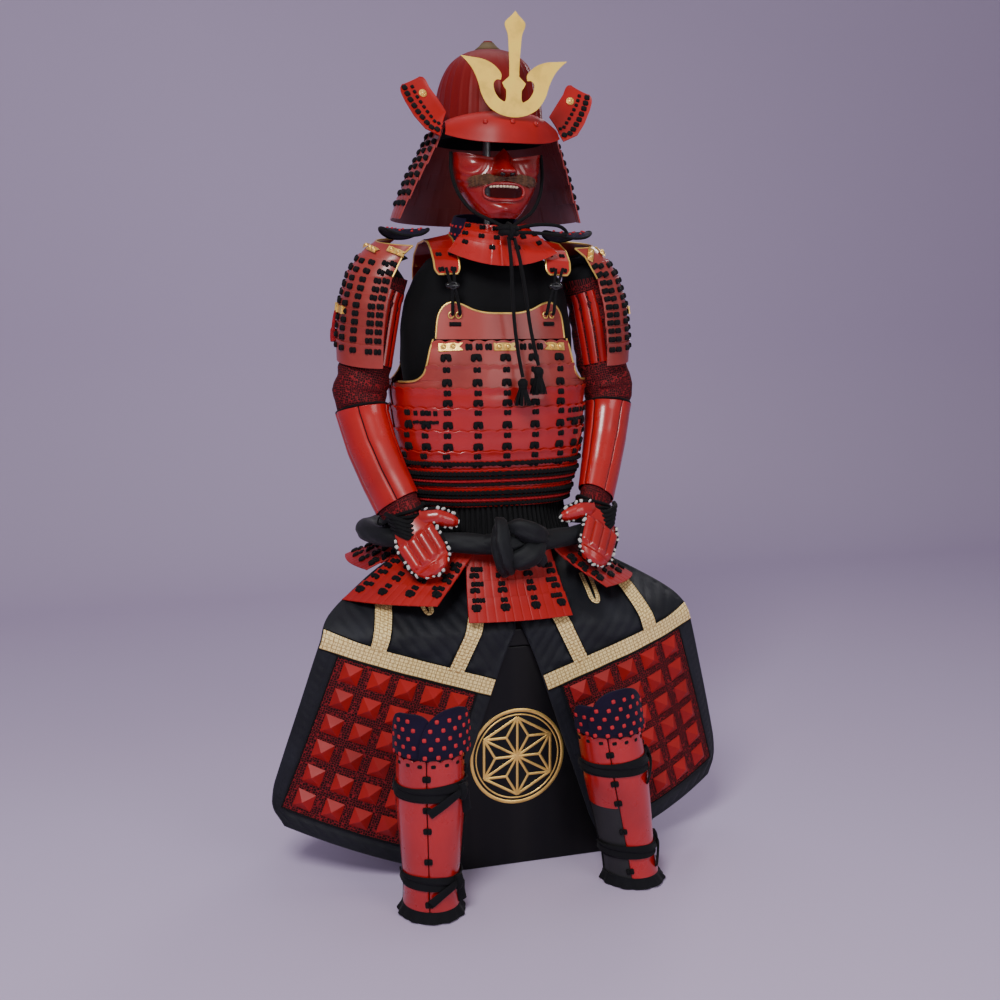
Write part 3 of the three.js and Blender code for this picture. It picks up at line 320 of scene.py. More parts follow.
def look_up(rows, at):
    """Every further column of a table of rows, read at `at` along the first one."""
    rows = np.array(sorted(rows, key=lambda row: row[0]), float)
    return [np.interp(at, rows[:, 0], row) for row in rows.T[1:]]


def table(rows, key, at):
    return look_up(rows, at)[key - 1]


def xyz(x, y, z):
    return np.stack(np.broadcast_arrays(np.asarray(x, float), y, z), axis=-1)


def skin(surface, core):
    """The surface with a lift along its outward normal: g(v, u, lift)."""
    def lifted(v, u, lift=0.0):
        v, u = np.broadcast_arrays(np.asarray(v, float), np.asarray(u, float))
        step = 1e-3
        at = surface(v, u)
        normal = np.cross(surface(v + step, u) - surface(v - step, u), surface(v, u + step)
                          - surface(v, u - step))
        normal /= np.linalg.norm(normal, axis=-1, keepdims=True) + TINY
        normal *= np.where(np.sum(normal * (at - core(v, u)), axis=-1, keepdims=True) < 0, -1, 1)
        return at + normal * np.asarray(lift, float)[..., None]
    return lifted


def keep(name, mesh, finish, replaces=(), body="root"):
    piece = bpy.data.objects.new(name, mesh)
    bpy.context.scene.collection.objects.link(piece)
    if not mesh.materials:
        mesh.materials.append(finish)
    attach(piece, body)
    if replaces:
        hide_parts(*([replaces] if isinstance(replaces, str) else replaces))
    return piece


def to_mesh(name, points, faces, uv, sharp=SHARP):
    points = (np.asarray(points, float).reshape(-1, 3) + (0, CENTRE_Y, 0)) * MM
    mesh = bpy.data.meshes.new(name)
    mesh.from_pydata(points.tolist(), [], [list(map(int, f)) for f in faces])
    picks = np.zeros(len(mesh.loops), int)
    mesh.loops.foreach_get("vertex_index", picks)
    mesh.uv_layers.new(name="UVMap").data.foreach_set("uv", (uv[picks] * MM).ravel())
    mesh.validate()
    mesh.shade_smooth()
    mesh.set_sharp_from_angle(angle=math.radians(sharp))
    return mesh


def way_along(path):
    """How far along a path each of its points lies."""
    return np.concatenate([[0], np.cumsum(np.linalg.norm(np.diff(path, axis=0), axis=1))])


def lengths(points):
    """UV of a grid of points, in mm: the way along its middle row and down its middle column."""
    rows, across = points.shape[:2]
    return np.stack(np.meshgrid(way_along(points[rows // 2]), way_along(points[:, across // 2])), axis=-1)


def wall(outer, inner, ringed=False):
    """Points, faces and UV of a closed wall between two grids."""
    rows, across = outer.shape[:2]
    uv = lengths(np.concatenate([outer, outer[:, :1]], axis=1) if ringed else outer)
    uv = uv[:, :across].reshape(-1, 2)
    points = np.concatenate([outer.reshape(-1, 3), inner.reshape(-1, 3)])
    front = np.arange(rows * across).reshape(rows, across)
    if ringed:
        front = np.concatenate([front, front[:, :1]], axis=1)
    back = front + rows * across
    strips = [(front[:-1, :-1], front[1:, :-1], front[1:, 1:], front[:-1, 1:]),
              (back[:-1, :-1], back[:-1, 1:], back[1:, 1:], back[1:, :-1]),
              (front[0, :-1], front[0, 1:], back[0, 1:], back[0, :-1]),
              (front[-1, :-1], back[-1, :-1], back[-1, 1:], front[-1, 1:])]
    if not ringed:
        strips += [(front[:-1, 0], back[:-1, 0], back[1:, 0], front[1:, 0]),
                   (front[:-1, -1], front[1:, -1], back[1:, -1], back[:-1, -1])]
    faces = np.concatenate([np.stack(strip, axis=-1).reshape(-1, 4) for strip in strips])
    a, b, c = points[faces[0, :3]]
    if np.dot(np.cross(b - a, c - a), outer[0, 0] - inner[0, 0]) < 0:
        faces = faces[:, ::-1]
    return points, faces.tolist(), np.concatenate([uv, uv])


def gather(name, parts, sharp=SHARP):
    """One mesh from several (points, faces, uv) parts."""
    points, faces, uv, start = [], [], [], 0
    for p, f, t in parts:
        points.append(p)
        faces.extend([[k + start for k in face] for face in f])
        uv.append(t)
        start += len(p)
    return to_mesh(name, np.concatenate(points), faces, np.concatenate(uv), sharp)


def smooth_path(points, per=6, closed=False):
    """A Catmull-Rom curve through the points."""
    p = np.asarray(points, float)
    before, after = (p[-1:], p[:2]) if closed else (2 * p[:1] - p[1:2], 2 * p[-1:] - p[-2:-1])
    p = np.concatenate([before, p, after])
    out = []
    for a, b, c, d in zip(p, p[1:], p[2:], p[3:]):
        for t in np.linspace(0, 1, per, endpoint=False):
            out.append(0.5 * (2 * b + (c - a) * t + (2 * a - 5 * b + 4 * c - d) * t * t
                              + (3 * b - a - 3 * c + d) * t ** 3))
    if not closed:
        out.append(p[-2])
    return np.array(out)


def ring_faces(rings, sides, closed=False):
    """Faces between rings of points, with a flat face at both ends unless the row is closed."""
    number = np.arange(rings * sides).reshape(rings, sides)
    last = number[-1].tolist()
    number = np.concatenate([number, number[:, :1]], axis=1)
    if closed:
        number = np.concatenate([number, number[:1]], axis=0)
    faces = np.stack([number[:-1, :-1], number[:-1, 1:], number[1:, 1:], number[1:, :-1]], axis=-1)
    faces = faces.reshape(-1, 4).tolist()
    return faces if closed else faces + [list(range(sides))[::-1], last]


def round_angles(sides):
    return np.linspace(0, 2 * np.pi, sides, endpoint=False)


def tube(path, radius, sides=8, closed=False, flat=1.0, up=(0.31, 0.17, 0.93)):
    """Points, faces and UV of a tube along a path; radius may be one number or one a point."""
    path = np.asarray(path, float)
    radius = np.broadcast_to(np.asarray(radius, float), len(path))
    ahead = np.roll(path, -1, 0) - np.roll(path, 1, 0)
    if not closed:
        ahead[0], ahead[-1] = path[1] - path[0], path[-1] - path[-2]
    ahead /= np.linalg.norm(ahead, axis=1, keepdims=True) + TINY
    side = np.array(up, float)
    angle = round_angles(sides)[:, None]
    rings = []
    for centre, way, r in zip(path, ahead, radius):
        side = side - way * np.dot(side, way)
        side /= np.linalg.norm(side) + TINY
        rings.append(centre + r * (np.cos(angle) * side + flat * np.sin(angle) * np.cross(way, side)))
    uv = np.stack(np.meshgrid(np.arange(sides) * 2 * np.pi * radius.mean() / sides, way_along(path)), axis=-1)
    return np.concatenate(rings), ring_faces(len(path), sides, closed), uv.reshape(-1, 2)


def cord(points, radius, sides=8, per=6, closed=False, **shape):
    """A tube along a smooth path through the points."""
    return tube(smooth_path(points, per, closed), radius, sides, closed, **shape)


def lathe(profile, centre=(0, 0, 0), sides=24):
    """A turned body about an upright axis; the profile is (radius, z) from the bottom up."""
    angle = round_angles(sides)
    points = np.concatenate([xyz(r * np.cos(angle), r * np.sin(angle), z) + centre for r, z in profile])
    return points, ring_faces(len(profile), sides), np.zeros((len(points), 2))


def soften(piece, width=0.6, segments=2, angle=35):
    """Rounded edges, as a live modifier."""
    edge = piece.modifiers.new("edges", "BEVEL")
    edge.width = width * MM
    edge.segments = segments
    edge.limit_method = "ANGLE"
    edge.angle_limit = math.radians(angle)
    edge.use_clamp_overlap = True
    return piece


def build(name, finish, parts, replaces=(), sharp=SHARP, edge=0.0, turns=2):
    """A piece from its parts; `edge` is the width of its rounded edges in mm."""
    piece = keep(name, gather(name, parts, sharp), finish, replaces)
    return soften(piece, edge, turns) if edge else piece


# ------------------------------------------------------------------ shapes that repeat
def repeat_tree():
    """Puts one shape on every point, turned and sized by the points' own attributes."""
    tree = bpy.data.node_groups.new("repeat_on_points", "GeometryNodeTree")
    for name, kind in (("Points", "NodeSocketGeometry"), ("Shape", "NodeSocketObject"),
                       ("Finish", "NodeSocketMaterial")):
        tree.interface.new_socket(name, in_out="INPUT", socket_type=kind)
    tree.interface.new_socket("Geometry", in_out="OUTPUT", socket_type="NodeSocketGeometry")
    new, link = tree.nodes.new, tree.links.new
    start, end = new("NodeGroupInput"), new("NodeGroupOutput")
    shape, place, real, paint = (new("GeometryNodeObjectInfo"), new("GeometryNodeInstanceOnPoints"),
                                 new("GeometryNodeRealizeInstances"), new("GeometryNodeSetMaterial"))
    link(start.outputs["Shape"], shape.inputs["Object"])
    link(start.outputs["Points"], place.inputs["Points"])
    link(shape.outputs["Geometry"], place.inputs["Instance"])
    for name, socket in (("turn", "Rotation"), ("size", "Scale")):
        value = new("GeometryNodeInputNamedAttribute")
        value.data_type = "FLOAT_VECTOR"
        value.inputs["Name"].default_value = name
        link(next(o for o in value.outputs if o.type == "VECTOR" and o.enabled), place.inputs[socket])
    link(place.outputs["Instances"], real.inputs["Geometry"])
    link(real.outputs["Geometry"], paint.inputs["Geometry"])
    link(start.outputs["Finish"], paint.inputs["Material"])
    link(paint.outputs["Geometry"], end.inputs["Geometry"])
    return tree


REPEAT = repeat_tree()


def spot(surface, v, u, lift=0.0, size=(1, 1, 1), tilt=0.0):
    """A place on a surface: where, its outward normal, its way down, its size and tilt."""
    step = 0.5 if abs(v) > 2 or abs(u) > 2 else 5e-3
    at = surface(v, u, lift)
    out = surface(v, u, lift + 1.0) - at
    down = surface(v - step, u, lift) - at
    if down[2] < 0:
        down = -down
    return at, out, down, size, tilt


def scatter(name, shape, spots, finish, replaces=()):
    """Copies of a small shape (x across, y up, z out, in mm) at every spot, as one mesh."""
    carrier = bpy.data.meshes.new(name + "_places")
    carrier.from_pydata([((s[0] + (0, CENTRE_Y, 0)) * MM).tolist() for s in spots], [], [])
    turns, sizes = [], []
    for _, out, up, size, tilt in spots:
        z = Vector(out).normalized()
        y = Vector(up)
        y = (y - z * y.dot(z)).normalized()
        turned = Matrix((y.cross(z), y, z)).transposed() @ Matrix.Rotation(tilt, 3, "Z")
        turns.extend(turned.to_euler())
        sizes.extend(size)
    for key, values in (("turn", turns), ("size", sizes)):
        carrier.attributes.new(key, "FLOAT_VECTOR", "POINT").data.foreach_set("vector", values)
    holder = bpy.data.objects.new(name + "_places", carrier)
    bpy.context.scene.collection.objects.link(holder)
    sample = bpy.data.objects.new(name + "_shape", shape)
    bpy.context.scene.collection.objects.link(sample)
    spread = holder.modifiers.new("repeat", "NODES")
    spread.node_group = REPEAT
    keys = {s.name: s.identifier for s in REPEAT.interface.items_tree if s.in_out == "INPUT"}
    spread[keys["Shape"]] = sample
    spread[keys["Finish"]] = finish
    bpy.context.view_layer.update()
    ready = holder.evaluated_get(bpy.context.evaluated_depsgraph_get())
    mesh = bpy.data.meshes.new_from_object(ready)
    mesh.name = name
    bpy.data.objects.remove(holder)
    bpy.data.objects.remove(sample)
    mesh.shade_smooth()
    return keep(name, mesh, finish, replaces)


def small(parts, sharp=180):
    """A sample shape at the origin, for scatter."""
    mesh = gather("shape", parts, sharp)
    mesh.transform(Matrix.Translation((0, -CENTRE_Y * MM, 0)))
    return mesh


def lump(width, height, depth, x=0.0, y=0.0, tilt=0.0, taper=0.0):
    """A cushion-like bit of cord: x across, y up, z out."""
    sides = 8
    points = []
    for lift, shrink in ((-0.4, 1.0), (0.35, 1.0), (0.8, 0.78), (1.0, 0.4)):
        for k in range(sides):
            a = 2 * math.pi * (k + 0.5) / sides
            py = power(math.sin(a), 0.6) * height / 2 * shrink
            px = power(math.cos(a), 0.6) * width / 2 * shrink * (1 - taper * py / height * 2)
            points.append((x + px * math.cos(tilt) - py * math.sin(tilt),
                           y + px * math.sin(tilt) + py * math.cos(tilt), lift * depth))
    return np.array(points), ring_faces(4, sides), np.zeros((4 * sides, 2))


SQUARE_KNOT = [lump(8.0, 12.0, 4.0, x=-3.6), lump(8.0, 12.0, 4.0, x=3.6)]
SPLAY_KNOT = [lump(10.6, 15, 4.6, x=-4.8, tilt=-0.26, taper=-0.2),
              lump(10.6, 15, 4.6, x=4.8, tilt=0.26, taper=-0.2), lump(11, 9, 5.2, y=3.6)]

# ------------------------------------------------------------------ chin cord, tails and tassels
CORD = 7.0                    # thickness of the chin cord, in mm
GOLDEN_ANGLE = 2.399963       # spreads a tassel's threads evenly
CHIN_CORD = [(92, -66, 1408), (93, -72, 1370), (84, -86, 1330), (62, -104, 1296), (30, -124, 1276),
             (0, -142, 1262)]
BOW = [(8, -147, 1259), (60, -140, 1268), (112, -118, 1268), (134, -104, 1256), (112, -120, 1250),
       (60, -144, 1252), (8, -149, 1252)]
TAILS = {"right": [(-2, -152, 1242), (2, -154, 1200), (6, -152, 1140), (10, -152, 1080), (17, -156, 1020),
                   (24, -162, 976)], "left": [(9, -152, 1242), (20, -154, 1200), (32, -152, 1140),
                                              (41, -152, 1080), (50, -157, 1030), (57, -160, 998)],}


def make_tassel(side, end):
    """A bound head and a skirt of separate threads."""
    x, y, z = end
    centre = (x, y, z - 1.4)
    parts = [lathe([(0.1, -18), (8, -17.5), (10, -12), (9.4, -6), (5, -1.5), (0.1, -0.4)], centre),
             lathe([(7.9, -21), (8.8, -19), (7.9, -17)], centre)]
    rng = np.random.default_rng(7 if side == "left" else 8)
    for k in range(64):
        a = k * GOLDEN_ANGLE
        r = 3 + 4.4 * math.sqrt((k % 16 + 1) / 16)
        low = 2.1 + 0.3 * rng.random()
        wave = 0.5 * rng.standard_normal(2)
        path = [(x + r * t * math.cos(a) + wave[0] * s, y + r * t * math.sin(a) + wave[1] * s, z - 20
                 - s * 35) for s, t in ((0, 0.85), (0.35, 0.6 * low), (0.7, low * 0.86), (1, low))]
        parts.append(tube(path, [0.9, 0.9, 0.8, 0.6], 5))
    return build(f"tassel_threads_{side}", LACING, parts, f"tassel_{side}")


for side, route in TAILS.items():
    path = smooth_path(route, 6)
    tail = build(f"tail_{side}", LACING, [tube(path, CORD / 2, 10)], f"cord_tail_{side}")
    tassel = make_tassel(side, route[-1])


def make_chin_cord():
    loop = CHIN_CORD + [(-x, y, z) for x, y, z in CHIN_CORD[-2::-1]]
    parts = [cord(loop, CORD / 2, 10), cord(BOW, CORD / 2, 10)]
    # The knot: two wraps across and one loop over them.
    for dz, reach, r in ((4, 19, 6.0), (-5, 17, 6.4)):
        parts.append(cord([(-reach, -141, 1256 + dz), (-8, -153, 1257 + dz), (8, -154, 1255 + dz),
                           (reach, -141, 1256 + dz)], [r * 0.7] + [r] * 14 + [r * 0.7], 10, per=5))
    parts.append(cord([(-3, -146, 1268), (1, -158, 1262), (3, -160, 1254), (1, -156, 1244), (0, -148, 1240)],
                      5.2, 10, per=5))
    build("chin_cord_tied", LACING, parts, "chin_cord")


make_chin_cord()


# ------------------------------------------------------------------ laced walls
LAME_WALL = 1.8


def axis(z, _):
    """Core of a form that stands round the armour's own axis."""
    return xyz(0, 0, z)


def lame(surface, top, low, across, wave=0.0, period=26.0, proud=1.3, slats=0, rows=4, lip=0.7):
    """One lame: its top edge stands proud and may be waved; slats are ribs with a groove between."""
    share = np.concatenate([[0, 0.012, 0.05], np.linspace(0.14, 0.96, rows), [1.0]])
    v, u = grid(share, across)
    along = way_along(surface((top + low) / 2, across))
    scallop = wave * np.abs(np.sin(np.pi * along / period)) ** 0.7
    slant = proud * (1 - 2 * v)
    lift = slant + np.interp(share, [0, 0.012, 0.05, 0.14, 0.3], [lip - 1.1, lip, lip, -0.3, 0])[:, None]
    if slats:
        phase = np.abs((along / along[-1] * slats) % 1 - 0.5) * 2
        lift = lift - 1.15 * ramp(phase - 0.86, 0.14) ** 1.5 + 0.14 * (1 - phase ** 2)
        scallop = wave * (1 - ramp(phase - 0.35) ** 2)
    z = top + (low - top) * v - np.sign(low - top) * (scallop - wave) * (1 - v)
    return wall(surface(z, u, lift), surface(z, u, np.minimum(lift, slant) - LAME_WALL))


def slat_columns(slats, low=-1.0, high=1.0):
    """Columns that give every slat a rounded back and a groove at each side."""
    share = np.array([0.0, 0.07, 0.2, 0.5, 0.8, 0.93])
    return lerp(low, high, np.concatenate([[*(k + share)] for k in range(slats)] + [[slats]]) / slats)


# ------------------------------------------------------------------ torso armour
TORSO_SECTIONS = [(1180, 166, 98, 112), (1118, 188, 108, 122), (1047, 199, 117, 130), (1001, 201, 130, 134),
                  (931, 202, 139, 136), (850, 197, 138, 132), (796, 187, 131, 124), (751, 174, 124, 116),
                  (700, 162, 117, 108)]
FRONT_EDGE = [(966, 184), (970, 170), (982, 158), (1000, 152), (1028, 145), (1049, 138), (1060, 137)]
BREAST_EDGE = [(0, 1099), (34, 1100), (60, 1106), (82, 1116), (98, 1120), (112, 1116), (123, 1103),
               (129, 1085), (133, 1050)]
BACK_EDGE = [(966, 184), (984, 164), (1020, 150), (1090, 140), (1140, 126), (1160, 108), (1166, 74)]
WAIST_SECTIONS = [(716, 160, 116, 107), (676, 166, 128, 114), (636, 178, 146, 122)]
LAMES = [1047, 1001, 956, 918, 873, 832, 796]
BACK_TOP = [1166, 1108]       # the back plate's two further lames
SQUARE = 2 / 2.5
ARMHOLE = (964, 967)          # between these heights the armholes open out of the side seams
SIDE_SEAM = 88.0              # degrees from the middle of each half
ARMHOLE_ROWS = (1040, 1030, 1020, 1010, 1000, 990, 984, 978, 974, 970, 968, 966.5, 965, 964)
# The laced foot, as height, radius and lift of each braid and red cord.
FOOT_BRAIDS = [(806, 4.2, 3.0), (786, 4.6, 3.4), (778, 3.0, 3.2), (764, 3.2, 2.6), (747, 4.6, 3.4),
               (739, 3.0, 3.0), (724, 3.6, 2.4)]
FOOT_CORDS = [(771, 2.2, 3.0), (732, 2.2, 2.8)]
SPREAD = (-117, -59, 0, 59, 117)


def body_form(sections, square=1.0):
    """A body in rings, from rows of height, half width, depth in front and depth behind."""
    def surface(z, angle):
        wide, front, back = look_up(sections, z)
        ahead = cosd(angle)
        return xyz(wide * power(sind(angle), square), -np.where(ahead > 0, front, back)
                   * power(ahead, square), z)
    return surface


torso = body_form(TORSO_SECTIONS, SQUARE)
torso_skin = skin(torso, axis)


def angle_at(z, x, back=False):
    a = np.degrees(np.arcsin(ramp((np.abs(x) / table(TORSO_SECTIONS, 1, z)) ** (1 / SQUARE))))
    a = np.where(np.asarray(x) < 0, -a, a)
    return 180 - a if back else a


def torso_half(edge, back):
    """Surface over c from -1 to 1 across one half of the torso, narrowed where its edge is cut."""
    low, high = ARMHOLE

    def surface(z, c):
        reach = np.where(z > high, angle_at(z, table(edge, 1, z)), SIDE_SEAM)
        opening = lerp(SIDE_SEAM, angle_at(z, edge[0][1]), (z - low) / (high - low))
        reach = np.where((z > low) & (z <= high), opening, reach)
        return torso(z, 180 + c * reach if back else c * reach)
    return skin(surface, axis)


def make_torso():
    across = np.linspace(-1, 1, 97)
    wide = np.linspace(-0.995, 0.995, 241)
    twist = 1 + 0.24 * np.sin(np.arange(len(wide)) * 2 * np.pi / 4)
    for half, edge, edges in (("front", FRONT_EDGE, LAMES), ("back", BACK_EDGE, BACK_TOP + LAMES)):
        surface = torso_half(edge, half == "back")
        upper, lower = [], []
        for top, low in zip(edges, edges[1:]):
            low -= 5
            rows = max(4, sum(low < z < top for z in ARMHOLE_ROWS))
            (upper if top > 960 else lower).append(
                lame(surface, top, low, across, wave=4.6, period=27, proud=2.4, lip=1.7, rows=rows))
        build(f"cuirass_{half}_upper", MUTED, upper, edge=0.4, turns=1)
        build(f"cuirass_{half}_lower", RED, lower, f"cuirass_{half}", edge=0.4, turns=1)
        # Closely laced foot of the cuirass: waved red edges between braids.
        build(f"cuirass_{half}_foot", RED,
              [lame(surface, top, low, across, wave=2.8, period=17, proud=2.0, lip=1.4) for top,
               low in ((796, 750), (757, 717))])
        for label, finish, braids in (("braid", LACING, FOOT_BRAIDS), ("cord", RED_CORD, FOOT_CORDS)):
            build(f"foot_{label}_{half}", finish,
                  [tube(surface(z, wide, lift), r * twist, 6, up=(0, 0, 1)) for z, r, lift in braids])


def make_breast_plate():
    rim = 2.1
    x = np.concatenate([np.linspace(-133, -108, 12), np.linspace(-104, 104, 45), np.linspace(108, 133, 12)])
    z = lerp(1049.0, table(BREAST_EDGE, 1, np.abs(x)) - 0.3, np.linspace(0, 1, 9)[:, None])
    angle = angle_at(z, x)
    build("breast_plate_lacquer", MUTED, [wall(torso_skin(z, angle, 0.6), torso_skin(z, angle, -2.4))],
          "breast_plate", edge=0.5)
    x, z = smooth_path([(-a, b) for a, b in BREAST_EDGE[:0:-1]] + BREAST_EDGE).T
    rims = [tube(torso_skin(z, angle_at(z, x), 0.2), rim, up=(0, 1, 0))]
    for edge, back in ((FRONT_EDGE, False), (BACK_EDGE, True)):
        for _, sign in SIDES:
            line = [(x, z) for z, x in edge if z < 1050 or back] + ([(40, 1166), (0, 1165)] if back else [])
            x, z = smooth_path([(196, 965.2)] + line, 5).T
            rims.append(tube(torso_skin(z, angle_at(z, sign * x, back), 0.4), rim, up=(0, 1, 0)))
    build("cuirass_rims", GILT, rims)


def fitting():
    """A gilt plate with two bosses and a swallowtail end."""
    w, h = 23.0, 8.5
    outline = [(-w, -h), (w - 5, -h), (w + 3, -h * 0.9), (w - 5, 0), (w + 3, h * 0.9), (w - 5, h), (-w, h)]
    points = [(x, y, 0) for x, y in outline] + [(x * 0.96, y * 0.9, 1.8) for x, y in outline]
    n = len(outline)
    faces = [[k, (k + 1) % n, n + (k + 1) % n, n + k] for k in range(n)]
    faces += [[6, 5, 3, 1, 0], [5, 4, 3], [3, 2, 1], [7, 8, 10, 12, 13], [12, 10, 11], [10, 8, 9]]
    bosses = [lathe([(7.4, 1.4), (7.0, 3.2), (5.4, 3.0), (4.8, 4.4), (3.0, 6.0), (0.1, 6.6)], (x, 0, 0), 14)
              for x in (-w * 0.52, w * 0.28)]
    return small([(np.array(points, float), faces, np.zeros((2 * n, 2))), *bosses], 40)


def make_torso_lacing():
    squares, splays = [], []
    for edge, edges, back in ((FRONT_EDGE, LAMES[1:], False), (BACK_EDGE, BACK_TOP + LAMES, True)):
        for top, low in zip(edges, edges[1:]):
            for x in SPREAD if top > 919 else (-184, -156, *SPREAD, 156, 184):
                if top > ARMHOLE[1] and abs(x) > table(edge, 1, top) - 12 or top > 1150 and abs(x) > 70:
                    continue
                a = float(angle_at(top - 20, x, back))
                squares.append(spot(torso_skin, top - 11.0, a, 0.6))
                size = (1, min(1, (top - low) / 42), 1)
                splays.append(spot(torso_skin, max(low + 7.5, top - 36), a, -0.6, size))

    def front(z, x, *how):
        return spot(torso_skin, z, float(angle_at(z, x)), *how)
    # Under the breastplate: gilt fittings, with bits of lacing between them.
    fittings = [front(1034, x, 0.8, (1, 1, 1), math.pi if x > 50 else 0) for x in (-108, 0, 108)]
    squares += [front(1034, x, 0.6, (0.95, 1.2, 0.8)) for x in (-72, -52, -33, 38, 56, 74)]
    splays += [front(1013, x, 0.2, (1.1, 1.0, 1)) for x in SPREAD]
    for _, sign in SIDES[::-1]:
        for x in range(139, 194, 11):
            squares.append(front(906, sign * x, 0.7, (0.6, 0.9, 0.8)))
            squares.append(front(888, sign * x, 0.7, (0.95, 0.55, 0.7), 0.1))
    scatter("cuirass_squares", small(SQUARE_KNOT), squares, LACING)
    scatter("cuirass_splays", small(SPLAY_KNOT), splays, LACING)
    scatter("cuirass_fittings", fitting(), fittings, GILT)


def make_waist():
    surface = skin(body_form(WAIST_SECTIONS), axis)
    z, a = grid(np.linspace(717, 636, 6), np.linspace(0, 360, 72, endpoint=False))
    laces = [tube(surface(np.linspace(719, 634, 6), k * 360 / 92, -0.6), 4.2, 6) for k in range(92)]
    build("waist_laces", LACING, [wall(surface(z, a, -2), surface(z, a, -4), True), *laces], "waist_lacing")


make_torso()
make_breast_plate()
make_torso_lacing()
make_waist()


# ------------------------------------------------------------------ stand, straps, collar, wings
FORM_SECTIONS = [(927, 20, 20, 0), (930, 130, 74, 0), (942, 172, 98, 0), (1010, 182, 104, 0),
                 (1070, 180, 103, 0), (1130, 170, 98, 2), (1175, 150, 88, 3), (1205, 124, 74, 4),
                 (1226, 88, 58, 5), (1242, 56, 48, 5), (1268, 46, 44, 4)]
STRAP = [(-117, 1174, 113), (-109, 1200, 114), (-86, 1224, 114), (-54, 1241, 112), (-10, 1250, 108),
         (50, 1244, 106), (92, 1222, 104), (113, 1196, 102), (122, 1170, 100)]


def make_stand():
    z, a = grid(np.concatenate([[928, 930, 934, 942], np.linspace(950, 1240, 26), [1246, 1256, 1266, 1269]]),
                round_angles(56))
    rx, ry, cy = look_up(FORM_SECTIONS, z)
    fold = 1.6 * np.sin(3 * a + z / 31) * np.sin(z / 47) * ramp(z - 940, 60) - 1.5
    points = xyz((rx + fold) * power(np.sin(a), 0.9), cy - (ry + fold) * power(np.cos(a), 0.9), z)
    keep("form_cover", to_mesh("form_cover", points, ring_faces(*z.shape), lengths(points).reshape(-1, 2)),
         STAND_CLOTH, "stand_form")
    foot = [(61, 489.2), (62, 491), (62, 495), (60, 497.4), (24, 498.4), (20, 502), (20, 930)]
    head = [(7.6, 1268), (7.6, 1560), (20, 1564), (40, 1584), (44, 1588), (43, 1591), (20, 1593),
            (0.1, 1593.4)]
    build("stand_poles", STEEL, [lathe(foot, sides=40), lathe(head, sides=32)])


def make_straps():
    rims, straps, squares = [], [], []
    for _, sign in SIDES:
        def strap(v, c, sign=sign):
            y, z, x = (np.interp(v, np.arange(len(STRAP)), row) for row in np.array(STRAP, float).T)
            end = 25 - 28 * np.clip(0.5 - v, 0, 0.5) ** 2
            return xyz(sign * (x + c * end), y, z - 6.25 * c * ramp(1 - np.abs(y) / 130))
        surface = skin(strap, lambda v, c, sign=sign: xyz(sign * 100, 0, 1100))
        v, c = grid(np.linspace(0, 8, 65), np.linspace(-1, 1, 9))
        straps.append(wall(surface(v, c, -0.2), surface(v, c, -3.6)))
        around = np.concatenate([np.linspace((8, -1), (0, -1), 60), np.linspace((0, -0.8), (0, 0.8), 7),
                                 np.linspace((0, 1), (8, 1), 60)])
        rims.append(tube(surface(*around.T, -0.8), 2.0))
        squares += [spot(surface, v, c, -0.4, (0.8, 0.8, 0.9)) for c in (-0.5, 0.5) for v in (0.35, 1.5)]
    build("shoulder_straps", RED, straps, ("shoulder_strap_left", "shoulder_strap_right"), edge=0.6)
    build("strap_rims", GILT, rims)
    scatter("strap_lacing", small(SQUARE_KNOT), squares, LACING)

    # Cords from the straps through the toggles to eyelets on the breastplate.
    cords, eyes, toggles = [], [], []
    for _, sign in SIDES:
        for dx in (-7, 7):
            cords.append(cord([(sign * x + dx * spread, y, z) for x, spread, y, z in (
                (112, 1, -124, 1186), (108, 0.8, -124, 1168), (105, 0.4, -123, 1152))], 3.0, per=5))
            cords.append(cord([(sign * x + dx * spread, y, z) for x, spread, y,
                               z in ((104, 0.3, -122, 1150), (100, 0.7, -119, 1128), (97, 1, -117, 1104),
                                     (96, 1, -112, 1096))], 3.4, per=5))
            eyes.append(spot(torso_skin, 1095, float(angle_at(1095, sign * 96 + dx)), 0.8))
        across = angle_at(1078.0, sign * 96 + np.linspace(-11, 11, 7))
        cords.append(tube(torso_skin(1078.0, across, 1.6), 4.2))
        toggles.append(tube([(sign * (90 + 30 * t), -121, 1152) for t in (0, 0.06, 0.2, 0.5, 0.8, 0.94, 1)],
                            [0.5, 4, 6, 5, 6, 4, 0.5], 12))
        a = round_angles(8)
        toggles.append(cord(xyz(sign * 105 + 7 * np.cos(a), -124, 1152 + 6 * np.sin(a)), 2.4, per=3,
                            closed=True))
    build("toggle_cords", LACING, cords)
    build("toggles", HORN, toggles, ("toggle_left", "toggle_right"))
    a = round_angles(16)
    scatter("eyelets", small([tube(xyz(5 * np.cos(a), 6 * np.sin(a), 1.2), 1.5, 6, closed=True)]), eyes, GILT)


